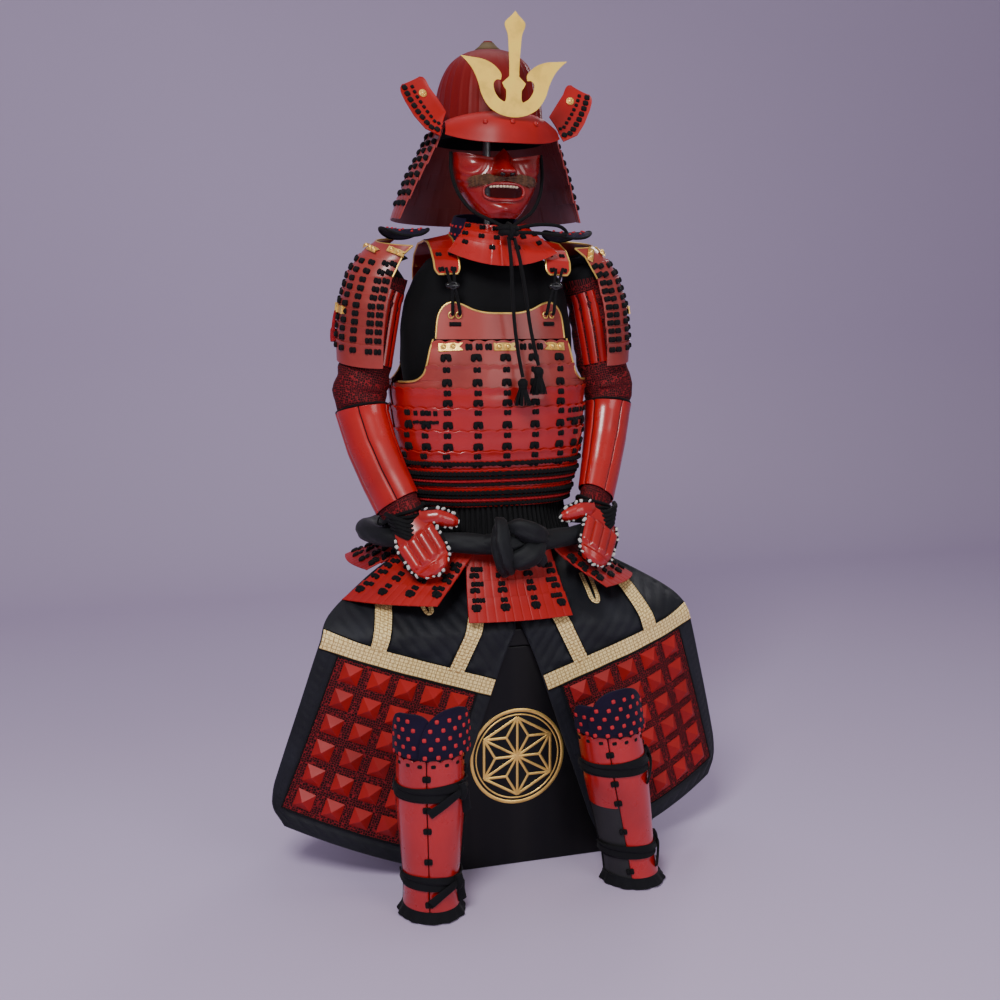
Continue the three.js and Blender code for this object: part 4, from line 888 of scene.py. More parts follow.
def make_collar():
    def collar(v, angle):
        r = lerp(66, 58, v) + 2.5 * np.sin(np.pi * ramp(v))
        return xyz(r * 1.12 * sind(angle), 8 + r * cosd(angle), lerp(1246, 1292, v) + 10 * cosd(angle))
    surface = skin(collar, lambda v, a: xyz(0, 8, 1260))
    v, a = grid(np.linspace(0, 1, 9), np.linspace(-128, 128, 65))
    cloth_wall = wall(surface(v, a, -0.4), surface(v, a, -4.6))
    build("collar_cloth", NAVY_CLOTH, [cloth_wall], "collar", edge=1.6, turns=3)
    dots = [spot(surface, r, a, -0.4, (0.8, 0.8, 0.9)) for r in (0.25, 0.6) for a in np.arange(-120, 121, 12)]

    # Leaf-shaped shoulder pads with a corded edge.
    edges, sides = [], 48
    for name, sign in SIDES:
        def leaf(v, u, sign=sign):
            across = 41 * v * sind(u)
            x = 172 + 49 * v * power(cosd(u), 0.8)
            return xyz(sign * x, -2 + across * 1.4, 1261 + 0.002 * (x - 170) ** 2 - 0.008 * across ** 2)
        ring = np.linspace(0, 360, sides, endpoint=False)
        v, a = grid([0.02, 0.3, 0.6, 0.85, 1.0], ring)
        dome = np.array([3.4, 3.2, 2.8, 1.6, 0.0])[:, None, None] * UP
        points, faces, _ = wall(leaf(v, a) + dome, leaf(v, a) - 1.9 * dome, True)
        # The middle of the leaf, above and below.
        faces += [list(range(sides)), list(range(5 * sides, 6 * sides))[::-1]]
        uv = points[:, :2] - points[:, :2].min(0)
        pad = build(f"shoulder_pad_{name}", NAVY_CLOTH, [(points, faces, uv)], f"shoulder_wing_{name}")
        edges.append(tube(leaf(0.98, ring), 2.6, closed=True))
        for r, count in ((0.35, 5), (0.68, 11)):
            dots += [(leaf(r, 360 * k / count) + 2.6 * UP, UP, (0, 1, 0), (0.8, 0.8, 1), 0)
                     for k in range(count)]
    build("pad_edges", LACING, edges)
    scatter("collar_dots", small([lump(6.5, 6.5, 2.4)]), dots, RED_DOT)


make_stand()
make_straps()
make_collar()


# ------------------------------------------------------------------ sash and tassets
def creased(path, radius, sides, crease, **shape):
    """A tube drawn in to crease(angle, step) of its girth."""
    points, faces, uv = tube(path, radius, sides, **shape)
    angle = np.tile(round_angles(sides), len(path))
    centre = np.repeat(path, sides, axis=0)
    drawn = crease(angle, np.repeat(np.arange(len(path)), sides))
    return centre + (points - centre) * drawn[:, None], faces, uv


def roll_crease(angle, step):
    return (1 - 0.09 * np.maximum(0, np.sin(2.3 * angle + step / 5.0)) ** 3
            - 0.08 * np.maximum(0, np.sin(3 * angle - step / 2.7 + 2)) ** 2)


def knot_crease(angle, step):
    return (1 - 0.17 * np.maximum(0, np.sin(3 * angle + step / 6)) ** 4
            - 0.08 * np.sin(5 * angle + step / 4 + 1))


# The knot's wraps: the way of each, its radius from end to end and its flatness.
SASH_WRAPS = [([(-26, -176, 690), (-32, -204, 686), (-36, -216, 660), (-30, -214, 632), (-20, -200, 614),
                (-8, -184, 616)], [12, 17, 19, 19, 17, 11], 1.45),
              ([(-22, -200, 688), (-2, -214, 690), (22, -216, 680), (44, -204, 668), (60, -190, 660)],
               [8, 17, 20, 18, 12], 1.15),
              ([(-22, -196, 622), (-4, -214, 626), (20, -218, 636), (40, -208, 650), (54, -196, 658)],
               [8, 18, 20, 16, 8], 1.15), ([(34, -210, 640), (44, -208, 626), (52, -202, 614)], [14, 12, 9],
                                           1.2), ([(-58, -186, 655), (-40, -196, 656), (-20, -206, 656),
                                                   (10, -204, 656)], [19, 19, 16, 10], 1.1),]


def make_sash():
    ring = []
    for a in round_angles(32)[2:31]:
        depth = 184 if math.cos(a) > 0 else 160
        ring.append((256 * math.sin(a), -depth * math.cos(a), 656 + 6 * math.sin(a) ** 2))
    route = smooth_path([(40, -188, 660), (60, -185, 656), *ring, (-60, -185, 655), (-40, -188, 654)])
    step = np.arange(len(route))
    girth = 20.2 + 0.9 * np.sin(step / 3.1) + 0.7 * np.sin(step / 7.7 + 1)
    roll = creased(route, girth, 28, roll_crease, up=(0, 0, 1))
    build("sash_roll", SASH_CLOTH, [roll], "sash")
    knot = []
    for route, radius, flat in SASH_WRAPS:
        path = smooth_path(route)
        fat = np.interp(np.linspace(0, 1, len(path)), np.linspace(0, 1, len(radius)), radius)
        knot.append(creased(path, fat, 24, knot_crease, up=(0, -1, 0), flat=flat))
    build("sash_bow", SASH_CLOTH, knot, "sash_knot", sharp=60)


# Each tasset: the middle of its upper and lower edge, the way it faces, and the width of both edges.
TASSETS = [
    ("front", 0, -156, 632, 0, -240, 514, 0, 176, 214),
    ("front_left", 140, -122, 634, 241, -170, 563, 47, 128, 148),
    ("front_right", -142, -122, 634, -256, -184, 552, -35, 150, 198),
    ("side_left", 192, 14, 636, 280, 52, 590, 87, 140, 176),
    ("side_right", -192, 14, 636, -280, 52, 590, -87, 140, 176),
    ("back_left", 90, 126, 632, 138, 214, 520, 156, 160, 190),
    ("back_right", -90, 126, 632, -138, 214, 520, -156, 160, 190),
]


def tasset_surface(x0, y0, z0, x1, y1, z1, face, top, low):
    out = np.array((sind(face), -cosd(face), 0))
    side = np.array((cosd(face), sind(face), 0))

    def surface(v, c):
        at = xyz(lerp(x0, x1, v), lerp(y0, y1, v), lerp(z0, z1, v))
        bulge = 14 * (0.4 - c * c) - 7 * np.sin(np.pi * ramp(v))
        return at + (c * lerp(top, low, v) / 2)[..., None] * side + bulge[..., None] * out
    return skin(surface, lambda v, c: xyz(0, 0, 500))


def make_tassets():
    squares, splays = [], []
    for name, *row in TASSETS:
        surface = tasset_surface(*row)
        slats = max(7, round(row[-1] / 18))
        parts = [lame(surface, top, low, slat_columns(slats), wave=0.012, proud=1.5, slats=slats)
                 for top, low in ((0.0, 0.28), (0.2, 0.5), (0.42, 0.72), (0.66, 1.0))]
        build(f"tasset_{name}_lacquer", SATIN, parts, f"tasset_{name}", sharp=50, edge=0.35, turns=1)
        for v in (0.26, 0.48, 0.715):
            for c in (-0.84, -0.3, 0.3, 0.84):
                squares.append(spot(surface, v - 0.01, c, 0.6, (0.95, 0.9, 1)))
                splays.append(spot(surface, v + 0.085, c, 0.4, (1.0, 0.75, 1)))
                if abs(c) > 0.8:
                    squares.append(spot(surface, v - 0.01, c * 0.86, 0.6, (0.8, 0.9, 1)))
        for c in (-0.84, -0.3, 0.3, 0.84):
            squares.append(spot(surface, 0.83, c, 0.6, (0.95, 0.9, 1)))
    scatter("tasset_squares", small(SQUARE_KNOT), squares, LACING)
    scatter("tasset_splays", small(SPLAY_KNOT), splays, LACING)


make_sash()
make_tassets()

# ------------------------------------------------------------------ arms
ARM = [(1172, 214, 6, 50, 1), (1130, 229, 6, 51, 1), (1070, 242, 4, 53, 1), (1000, 252, 0, 50, 1),
       (945, 267, -4, 55, 0.96), (914, 264, -9, 51, 0.88), (895, 262, -14, 48, 0.85),
       (840, 250, -32, 47, 0.78), (780, 231, -58, 45, 0.7), (728, 211, -84, 44, 0.62),
       (702, 199, -96, 45, 0.66)]
OVAL = math.radians(135)
SODE_ROWS = [(1238, 226, 62), (1222, 252, 68), (1180, 283, 76), (1125, 301, 80), (1060, 309, 82),
             (1000, 311, 82)]


def arm_surface(grow, side):
    def surface(z, angle):
        x, y, r, flat = look_up(ARM, z)
        below, above = look_up(ARM, z - 8), look_up(ARM, z + 8)
        way = xyz(below[0] - above[0], below[1] - above[1], -16)
        way /= np.linalg.norm(way, axis=-1, keepdims=True)
        across = xyz(1, 0, 0) - way * way[..., :1]
        across /= np.linalg.norm(across, axis=-1, keepdims=True)
        forward = np.cross(way, across)
        long = across * math.cos(OVAL) + forward * math.sin(OVAL)
        short = -across * math.sin(OVAL) + forward * math.cos(OVAL)
        at = (xyz(x, y, z) + long * ((r + grow) * cosd(angle))[..., None]
              + short * ((r * flat + grow) * sind(angle))[..., None])
        return at * (side, 1, 1)
    return skin(surface, lambda z, a: xyz(side * table(ARM, 1, z), table(ARM, 2, z), z))


def make_arms():
    for name, side in SIDES:
        surface = arm_surface(0, side)
        z = np.concatenate([np.linspace(1172, 1000, 22), np.linspace(992, 904, 16), np.linspace(890, 740, 12),
                            np.linspace(732, 702, 8)])
        zz, a = grid(z, np.linspace(0, 360, 72, endpoint=False))
        ease = ramp(zz - 905, 20) * ramp(1172 - zz, 30)
        folds = (2.4 * np.sin(np.radians(a) * 2 + zz / 19) * np.sin(zz / 11 + 1.3 * sind(a))
                 + 1.4 * np.sin(zz / 5.5 + 3 * sind(a))) * ease
        cuff = 1.2 * np.sin(zz / 3.1) * ramp(730 - zz, 8)
        piece = build(f"sleeve_cloth_{name}", RED_BROCADE,
                      [wall(surface(zz, a, folds + cuff), surface(zz, a, folds + cuff - 2), True)],
                      f"sleeve_{name}", sharp=60)

        # Dark cloth between the sleeve and the shoulder.
        rise, turns = grid(np.linspace(0, 1, 14), np.linspace(0, 360, 48, endpoint=False))
        foot = surface(1170.0, turns, -2.5)
        crown_at = xyz(side * (186 + 22 * cosd(turns)), 8 + 40 * sind(turns), 1214 + 8 * cosd(turns))
        bulge = 1 + 0.12 * np.sin(np.pi * rise)[..., None]
        outer = foot + (crown_at - foot) * rise[..., None]
        middle = xyz(side * 200.0, 6.0, outer[..., 2])
        outer = middle + (outer - middle) * bulge
        inner = outer + (middle - outer) * 0.045
        top = build(f"sleeve_top_{name}", BLACK_CLOTH, [wall(outer, inner, True)], sharp=60)

        # Forearm: three broad plates and two narrow ones, over dark cloth, held by small cords.
        guard = arm_surface(4, side)
        seams = [8, 78, 150, 222, 292, 368]
        plates = []
        rows = np.concatenate([[909.6, 907], np.linspace(895, 740, 15), [730, 728.2]])
        for low, high in zip(seams, seams[1:]):
            v, u = grid(rows, np.linspace(low + 1.3, high - 1.3, 17))
            edge = np.minimum(u - u.min(), u.max() - u)
            crown = 1.6 * ramp(edge, 6) ** 0.6 - 0.4 + 1.6 * np.sin(np.pi * (u - low) / (high - low))
            plates.append(wall(guard(v, u, crown), guard(v, u, crown - 2.0)))
        build(f"forearm_plates_{name}", BRIGHT, plates, f"forearm_guard_{name}", edge=0.8)
        vv, uu = grid(np.linspace(906, 730, 18), np.linspace(0, 360, 60, endpoint=False))
        backing = build(f"forearm_backing_{name}", BLACK_CLOTH,
                        [wall(guard(vv, uu, -1.2), guard(vv, uu, -2.6), True)])
        bands = []
        turn = np.arange(72) * 5.0
        for z0, r in ((912, 2.6), (707, 3.6), (702, 3.6)):
            bands.append(tube(guard(z0 + 2 * sind(2 * turn + z0), turn, -1.0), r, closed=True))
        bands.append(cord([(side * 234, -72, 708), (side * 246, -78, 700), (side * 250, -82, 690),
                           (side * 242, -84, 686), (side * 236, -80, 696), (side * 230, -76, 704)], 1.8,
                          per=5))
        for k in range(5):
            z0 = 706 - 8 * k
            bands.append(cord([(side * (178 - 3 * k), -140 - 4 * k, z0),
                               (side * (205 - 2 * k), -150 - 4 * k, z0 - 6),
                               (side * (230 - 3 * k), -140 - 4 * k, z0 + 2),
                               (side * (240 - 3 * k), -112 - 5 * k, z0 + 6)], 5.0, per=5))
        bands.append(cord([(side * 180, -138, 710), (side * 175, -150, 692), (side * 166, -160, 670)], 6.0,
                          10))
        build(f"wrist_cords_{name}", LACING, bands)

        # Narrow splints on the inner upper arm.
        splints = []
        for a0 in (-38, -16, 6):
            vv, uu = grid(np.linspace(1150, 1000, 14), np.linspace(a0, a0 + 17, 7))
            crown = 2.4 * np.sin(np.pi * (uu - a0) / 17) ** 0.5 + 1.4
            splints.append(wall(surface(vv, uu, crown), surface(vv, uu, 0.6)))
        build(f"arm_splints_{name}", BRIGHT, splints)


def sode_surface(side):
    """The shoulder guard's curve, over height and degrees from its middle."""
    def surface(z, angle):
        x, r = look_up(SODE_ROWS, z)
        x = x - r + r * cosd(angle)
        y = 2 + r * sind(angle)
        return xyz(side * x, y, z + 0.16 * y)
    return skin(surface, lambda z, a: xyz(side * 200, 0, z))


def make_shoulder_guards():
    squares, fittings, bars, rims, reds = [], [], [], [], []
    edges = [1212, 1180, 1148, 1116, 1084, 1050]
    rear, fore = -86, 80
    for name, side in SIDES:
        surface = sode_surface(side)
        across = np.linspace(rear, fore, 61)
        parts = [lame(surface, 1238, 1208, across, proud=1.2)]
        for top, low in zip(edges, [*(z - 4 for z in edges[1:]), 1005]):
            parts.append(lame(surface, top, low, across, wave=1.0, period=22, proud=1.5))
        build(f"shoulder_lames_{name}", MUTED, parts, f"shoulder_guard_{name}", edge=0.4, turns=1)
        for top, low in zip(edges, [*edges[1:], 1018]):
            for a in (-78, -66, -43, -21, 1, 22, 43, 66):
                for share in ((0.26, 0.76) if top > 1060 else (0.4,)):
                    squares.append(spot(surface, lerp(top, low, share), a, 1.0, (0.98, 0.95, 1.1)))
        rims.append(tube(surface(1238, np.linspace(rear, fore, 40), 0.6), 2.0))
        rims.append(tube(surface(np.linspace(1238, 1180, 16), rear, 0.4), 2.0))
        for a, t in ((-70, 0.3), (-24, 0.0), (20, 0.0)):
            fittings.append(spot(surface, 1226, a, 1.4, (0.8, 0.8, 1), t))
        v, u = grid([1116, 1114, 1104, 1102], np.linspace(-24, 18, 15))
        bars.append(wall(surface(v, u, 5.2), surface(v, u, 2.4)))
        bars += [tube(surface(np.linspace(1117, 1101, 6), a, 5.6), 2.4) for a in (-19, -3, 12)]
        hanging = surface([1104, 1090, 1072, 1050, 1040], [14, 16, 13, 15, 14], [4, 6.5, 7, 7, 6])
        reds.append(cord(hanging, [3.4] * 12 + [5.4] * 9, per=5))
    scatter("shoulder_lacing", small(SQUARE_KNOT), squares, LACING)
    scatter("shoulder_fittings", fitting(), fittings, GILT)
    build("shoulder_bars", GILT, bars)
    build("shoulder_rims", GILT, rims)
    build("shoulder_tassels", RED_CORD, reds)


# Rows of a hand guard: share of its length, its middle and its half width.
HAND = [(0, 202, -150, 698, 34), (0.3, 192, -171, 671, 43), (0.7, 170, -195, 630, 41),
        (1, 156, -204, 607, 27)]
THUMB = [(0, 184, -152, 704, 18), (0.5, 146, -166, 708, 18), (1, 108, -162, 697, 12)]


def shield(rows, across, arch, side):
    """An arched plate with a rounded end, over v from 0 to 1 and c from -1 to 1."""
    across = np.array(across, float) / np.linalg.norm(across)

    def surface(v, c):
        x, y, z, w = look_up(rows, v)
        end = np.sqrt(ramp(1 - ramp(v - 0.8, 0.32) ** 2))
        return (xyz(x, y + arch * c * c, z) + (w * c * end)[..., None] * across) * (side, 1, 1)
    return skin(surface, lambda v, c: xyz(side * 190, -20, 640))


def make_hands():
    stitch_gap = 11.5
    for name, side in SIDES:
        back = shield(HAND, (-0.8, -0.05, 0.58), 10, side)
        pad = shield(THUMB, (-0.1, -0.1, 1), 8, side)
        v, c = grid(np.linspace(0, 1, 41), np.linspace(-1, 1, 49))
        fingers = np.abs(np.sin(2 * np.pi * (c + 1))) ** 0.6
        window = ramp(v - 0.22, 0.06) * ramp(0.7 - v, 0.05)
        knuckle = ramp(v - 0.74, 0.03) * ramp(1.0 - v, 0.1) * (1 - c * c) ** 0.5
        lift = 5.5 * fingers * window + 8 * knuckle + 1.5 * (1 - c * c)
        parts = [wall(back(v, c, lift), back(v, c, np.minimum(lift, 1.5) - 2.6))]
        v, c = grid(np.linspace(0, 1, 25), np.linspace(-1, 1, 15))
        crown = (5.0 * (1 - c * c) ** 0.7 * ramp(v * 5) * np.clip((1 - v) * 8, 0.2, 1)
                 - 2.2 * bell((v - 0.52, 0.03)))
        parts.append(wall(pad(v, c, crown), pad(v, c, np.minimum(crown, 0) - 2.4)))
        build(f"hand_plates_{name}", BRIGHT, parts, f"hand_guard_{name}", sharp=50, edge=0.5)
        tip = np.stack([0.86 + 0.13 * np.sin(np.linspace(0, np.pi, 16)), np.linspace(-1, 1, 16)], axis=1)
        edge = np.concatenate([np.linspace((0.1, -1.03), (0.86, -1.03), 30), tip,
                               np.linspace((0.86, 1.03), (0.1, 1.03), 30)])
        thumb_edge = np.concatenate([np.linspace((0.05, -1.05), (1, -1.05), 24),
                                     np.linspace((1, 1.05), (0.05, 1.05), 24)])
        paths = [back(*edge.T, -0.4), pad(*thumb_edge.T, -0.4)]
        build(f"hand_edging_{name}", LACING, [tube(path, r) for path, r in zip(paths, (4.4, 4.0))])
        stitches = []
        for path in paths:
            along = way_along(path)
            for k, s in enumerate(np.arange(4, along[-1] - 3, stitch_gap)):
                at, ahead = (np.array([np.interp(d, along, row) for row in path.T]) for d in (s, s + 2))
                out = at - (side * 190, -20, 640)
                out /= np.linalg.norm(out)
                size = (1.25 + 0.35 * math.sin(k * 1.7), 1.9 + 0.7 * math.sin(k * 2.9), 1.3)
                if k % 5 != 3:
                    stitches.append((at + out * 2.9 - (0, 0.8, 0), out, ahead - at, size,
                                     0.7 * math.sin(k * 2.4)))
        scatter(f"hand_stitches_{name}", small([lump(4.6, 4.2, 2.6)]), stitches, WHITE_CORD)


make_arms()
make_shoulder_guards()
make_hands()

# ------------------------------------------------------------------ helmet
BOWL = dict(base=1455, height=155, rx=107, ry=124, cy=-10)


def bowl_at(rise, angle, grow=0.0):
    share = ramp(rise)
    r = (1 - 0.07 * share) * (1 - share ** 2.9) ** (1 / 2.9)
    return xyz((BOWL["rx"] * r + grow) * sind(angle), BOWL["cy"] - (BOWL["ry"] * r + grow) * cosd(angle),
               BOWL["base"] + BOWL["height"] * rise)


def make_bowl():
    ribs = 32
    rise = np.concatenate([[0, 0.012], np.linspace(0.03, 0.9, 22), [0.93, 0.955, 0.975, 0.988, 0.996]])
    angle = np.linspace(0, 360, ribs * 6, endpoint=False)
    v, a = grid(rise, angle)
    phase = (a / 360 * ribs) % 1
    seam = bell((phase - 0.5, 0.09))
    fade = ramp(v - 0.06, 0.05) * ramp(0.99 - v, 0.2)
    band = 0.9 * ramp(0.075 - v, 0.01)
    outer = bowl_at(v, a, 1.5 * seam * fade + band)
    inner = bowl_at(v, a, -3.0) - xyz(0, 0, 3) * v[..., None]
    cap = xyz(13 * sind(angle), BOWL["cy"] - 13 * cosd(angle), 1610.0)
    outer = np.concatenate([outer, cap[None]])
    inner = np.concatenate([inner, (cap - (0, 0, 3))[None]])
    build("bowl_lacquer", DEEP, [wall(outer, inner, True)], "helmet_bowl", sharp=50, edge=0.4, turns=1)
    top = (0, BOWL["cy"], 1610.2)
    finial = [lathe([(25, 0), (26, 1.2), (25.2, 3.2), (19, 8), (13, 14.6), (12.4, 15.6)], top, 36),
              lathe([(27, -1.4), (27.6, -0.4), (26, 0.6)], top, 36)]
    build("finial_gilt", AGED_GILT, finial, "helmet_finial")
    build("finial_top", DEEP, [lathe([(9.4, 14), (9.8, 17.6), (8.6, 18.8), (0.1, 19)], top, 28)])


def peak(t, c):
    root = bowl_at(0.15 - 0.08 * c * c, 72 * c, 1.6)
    edge = xyz(115 * c, -178 + 68 * np.abs(c) ** 2.2, 1414 + 20 * np.abs(c) ** 3)
    brow = xyz(lerp(root[..., 0], edge[..., 0], 0.75), lerp(root[..., 1], edge[..., 1], 0.92), root[..., 2]
               - 2)
    t = t[..., None]
    return root * (1 - t) ** 2 + brow * 2 * t * (1 - t) + edge * t * t


def make_peak():
    surface = skin(peak, lambda v, c: xyz(0, -60, 1380))
    v, c = grid(np.linspace(0, 1, 21), np.linspace(-1, 1, 65))
    rolled = 1.6 * ramp(v - 0.93, 0.05)
    build("peak_lacquer", SATIN, [wall(surface(v, c, rolled), surface(v, c, -2.2))], "helmet_peak", edge=0.5)
    dome = small([lathe([(5.2, 0), (4.9, 1.2), (3.6, 2.6), (1.8, 3.4), (0.1, 3.6)], (0, 0, 0), 16)])
    spots = [spot(surface, 0.6, c, 0.1) for c in (-0.42, 0.0, 0.42)]
    scatter("peak_rivets", dome, spots, SATIN)


CREST_FOOT = 1461
CREST_HALF = [(0, 1649, 1), (7, 1641, 0), (20, 1627, 0), (14, 1608, 0), (12, 1590, 0), (10, 1560, 0),
              (9.5, 1534, 1), (14, 1530, 0), (23, 1522, 1), (19, 1514, 0), (15, 1508, 0), (15.5, 1492, 0),
              (19, 1488, 1), (30, 1495, 0), (38, 1507, 0), (40, 1520, 0), (34, 1527, 0), (26, 1527, 1),
              (25, 1536, 0), (32, 1546, 0), (46, 1556, 0), (64, 1562, 0), (84, 1564, 0), (104, 1566, 1),
              (92, 1556, 0), (80, 1542, 0), (70, 1522, 0), (62, 1498, 0), (48, 1478, 0), (30, 1467, 0),
              (12, 1462, 0), (0, CREST_FOOT, 0)]


def make_crest():
    half, run = [], [CREST_HALF[0]]
    for row in CREST_HALF[1:]:
        run.append(row)
        if row[2] or row is CREST_HALF[-1]:
            line = smooth_path([(x, 0, z) for x, z, _ in run], 4)
            half.extend(line[:-1].tolist())
            run = [row]
    half.append([0, 0, CREST_FOOT])
    outline = half + [[-x, 0, z] for x, _, z in half[-2:0:-1]]
    mesh = bmesh.new()
    lean = math.radians(3)
    corners = []
    for x, _, z in outline:
        y = -174.9 - (z - CREST_FOOT) * math.sin(lean) + CENTRE_Y
        high = CREST_FOOT + (z - CREST_FOOT) * math.cos(lean)
        corners.append(mesh.verts.new((x * MM, y * MM, high * MM)))
    face = mesh.faces.new(corners)
    thick = bmesh.ops.extrude_face_region(mesh, geom=[face])
    moved = [g for g in thick["geom"] if isinstance(g, bmesh.types.BMVert)]
    bmesh.ops.translate(mesh, verts=moved, vec=(0, 1.9 * MM, 0))
    bmesh.ops.triangulate(mesh, faces=[f for f in mesh.faces if len(f.verts) > 4])
    bmesh.ops.recalc_face_normals(mesh, faces=mesh.faces[:])
    data = bpy.data.meshes.new("crest_plate")
    mesh.to_mesh(data)
    mesh.free()
    data.shade_smooth()
    data.set_sharp_from_angle(angle=math.radians(SHARP))
    soften(keep("crest_plate", data, CREST_GILT, "helmet_crest"), 0.45, 2, 50)


TURNBACK = [(0, 118, -97, 1452, 124, -110, 1430), (0.25, 105, -78, 1480, 153, -108, 1443),
            (0.5, 120, -77, 1503, 172, -97, 1467), (0.75, 136, -72, 1525, 187, -87, 1495),
            (1, 146, -67, 1548, 198, -77, 1523)]


def make_turnbacks():
    blocks, studs = [], []
    for name, side in SIDES:
        def plate(v, c, side=side):
            rows = look_up(TURNBACK, v)
            return xyz(*(lerp(near, far, c) for near, far in zip(rows[:3], rows[3:]))) * (side, 1, 1)
        surface = skin(plate, lambda v, c, side=side: xyz(side * 150, 100, 1480))
        v, c = grid(np.linspace(0, 1, 33), np.linspace(0, 1, 21))
        dish = -2.0 * (1 - (2 * c - 1) ** 2) + 1.4 * ramp(np.abs(2 * c - 1) - 0.86, 0.1)
        inset = 0.16 * (1 - np.sqrt(1 - ramp(v - 0.86, 0.14) ** 2))
        c = inset + c * (1 - 2 * inset)
        leaf = [wall(surface(v, c, dish), surface(v, c, dish - 2.2))]
        build(f"turnback_lacquer_{name}", SATIN, leaf, f"turnback_{name}", edge=0.6)
        for v0 in np.linspace(0.1, 0.94, 9):
            blocks.append(spot(surface, v0, 0.8 if v0 > 0.2 else 0.68, -0.8, (1.5, 1.45, 1.1), 0.2))
        for v0 in np.linspace(0.16, 0.9, 9):
            blocks.append(spot(surface, v0, 0.53 if v0 > 0.2 else 0.4, -1.6, (0.95, 0.95, 0.8), 0.2))
        studs.append(spot(surface, 0.72, 0.3, -1.4))
    scatter("turnback_lacing", small([lump(7.6, 7.6, 2.6)]), blocks, LACING)
    petals = [lathe([(8.2, 0), (7.8, 1.4), (5.4, 2.0)], (0, 0, 0), 20),
              lathe([(3.6, 1.6), (3.0, 3.4), (0.1, 4.4)], (0, 0, 0), 14)]
    for k in range(8):
        a = k * math.pi / 4
        petals.append(lump(3.0, 4.6, 2.8, x=5.0 * math.cos(a), y=5.0 * math.sin(a), tilt=a - math.pi / 2))
    scatter("turnback_flowers", small(petals, 40), studs, GILT)


GUARD_ROWS = [(1452, 116, 122, 92, 2), (1420, 132, 142, 84, 4), (1370, 160, 172, 66, 8),
              (1320, 181, 198, 46, 6), (1282, 197, 216, 36, 4)]


def neck(z, u):
    rx, back, reach, draw = look_up(GUARD_ROWS, z)
    a = np.radians(90 * np.clip(u, -1, 1))
    share = np.clip(np.abs(u) - 1, 0, None)
    inside = np.abs(u) <= 1
    x = np.where(inside, rx * np.sin(a), np.sign(u) * (rx - draw * share ** 2))
    y = np.where(inside, back * np.cos(a), -reach * share)
    return xyz(x, y, z - 4 * share)


def make_neck_guard():
    surface = skin(neck, lambda z, u: xyz(0, 0, z - 60))
    slats = 44
    columns = slat_columns(slats, -2, 2)
    edges = [1452, 1422, 1392, 1362, 1328]
    parts = [lame(surface, top, low, columns, wave=1.4, proud=1.5, slats=slats)
             for top, low in zip(edges, [*(z - 4 for z in edges[1:]), 1286])]
    guard = build("neck_lames", MUTED, parts, "neck_guard", sharp=50)
    # Faces turned towards the middle get the darker copy of the muted lacquer: painted shade inside the
    # guard.
    guard.data.materials.append(INSIDE_SHADE)
    middle = np.array((0, CENTRE_Y * MM, 1.30))
    for face in guard.data.polygons:
        if np.dot(face.normal, np.array(face.center) - middle) < 0:
            face.material_index = 1
    soften(guard, 0.35, 1)
    squares = []
    for top, low in zip(edges, [*edges[1:], 1296]):
        for u in (-1.82, -1.34, *np.linspace(-0.95, 0.95, 9), 1.34, 1.82):
            for share in ((0.26, 0.78) if top > edges[-1] else (0.42,)):
                squares.append(spot(surface, lerp(top, low, share), float(u), 1.0, (1.05, 0.95, 1.2)))
    scatter("neck_lacing", small(SQUARE_KNOT), squares, LACING)


def make_lining_and_shade():
    # A black cloth band inside the bowl and below its rim: partly a lining, partly painted shade that keeps
    # the inside of the helmet dark.
    t, a = grid(np.linspace(0, 1, 5), np.linspace(-142, 142, 60))
    outer, inner = (xyz((lerp(101, 111, t) - deep) * sind(a), BOWL["cy"] + (lerp(118, 117, t) - deep)
                        * cosd(a), lerp(1470, 1434, t)) for deep in (0, 2))
    lining = build("helmet_lining", BLACK_CLOTH, [wall(outer, inner)])


make_bowl()
make_lining_and_shade()
make_peak()
make_crest()
make_turnbacks()
make_neck_guard()


# ------------------------------------------------------------------ mask and throat
MASK_ROWS = [(1408, 88, 108, 66), (1385, 87, 114, 62), (1355, 82, 118, 62), (1330, 72, 120, 66),
             (1308, 58, 121, 74), (1290, 42, 119, 86), (1280, 30, 112, 92)]
MOUTH = dict(x=38, z=1330.5, high=13.5)
FAN = [(1272, 60, 92, 6, 34), (1240, 80, 116, 12, 30), (1190, 114, 137, 28, 24)]


def mask(z, c):
    w, depth, edge = look_up(MASK_ROWS, z)
    a = np.radians(90 * c)
    x = w * np.sin(a)
    y = -edge - (depth - edge) * np.clip(np.cos(a), 0, None) ** 0.8
    share = ramp(1412 - z, 42)
    wide = lerp(10, 25, share)
    ridge = ramp(1 - (x / wide) ** 2) ** 1.2 * lerp(6, 28, share)
    under = ramp(z - 1357, 7)
    wing = 9 * bell((np.abs(x) - 15, 7), (z - 1369, 8))
    return xyz(x, y - (ridge + wing) * under, z)


def mask_top(c):
    """Height of the upper edge: the bridge of the nose rises between two dips for the eyes."""
    x = np.abs(88 * sind(90 * np.asarray(c, float)))
    return 1395 + 17 * ramp(1 - x / 17) ** 0.8 + 11 * ramp(x - 17, 66) ** 1.3


def mask_relief(z, c):
    x = np.abs(mask(z, c)[..., 0])
    fold = np.hypot(x - 62, (z - 1392) * 0.9)
    rays = ramp(fold - 16, 8) * ramp(50 - fold, 8) * ramp(1388 - z, 14)
    cheek = 3.4 * bell((x - 58, 17), (z - 1384, 13))
    chin = 5.5 * bell((x, 15), (z - 1298, 9))
    crease = -2.4 * bell((x, 24), (z - 1309, 3))
    brim = 1.2 * ramp(z - mask_top(c) + 5, 3) * ramp(x - 16, 8)
    tip = 2.6 * bell((x, 9), (z - 1370, 6))
    wing = 3.0 * bell((x - 12, 5), (z - 1368, 6))
    return 0.7 * rays * np.sin(fold / 1.8) + cheek + chin + crease + brim + tip + wing


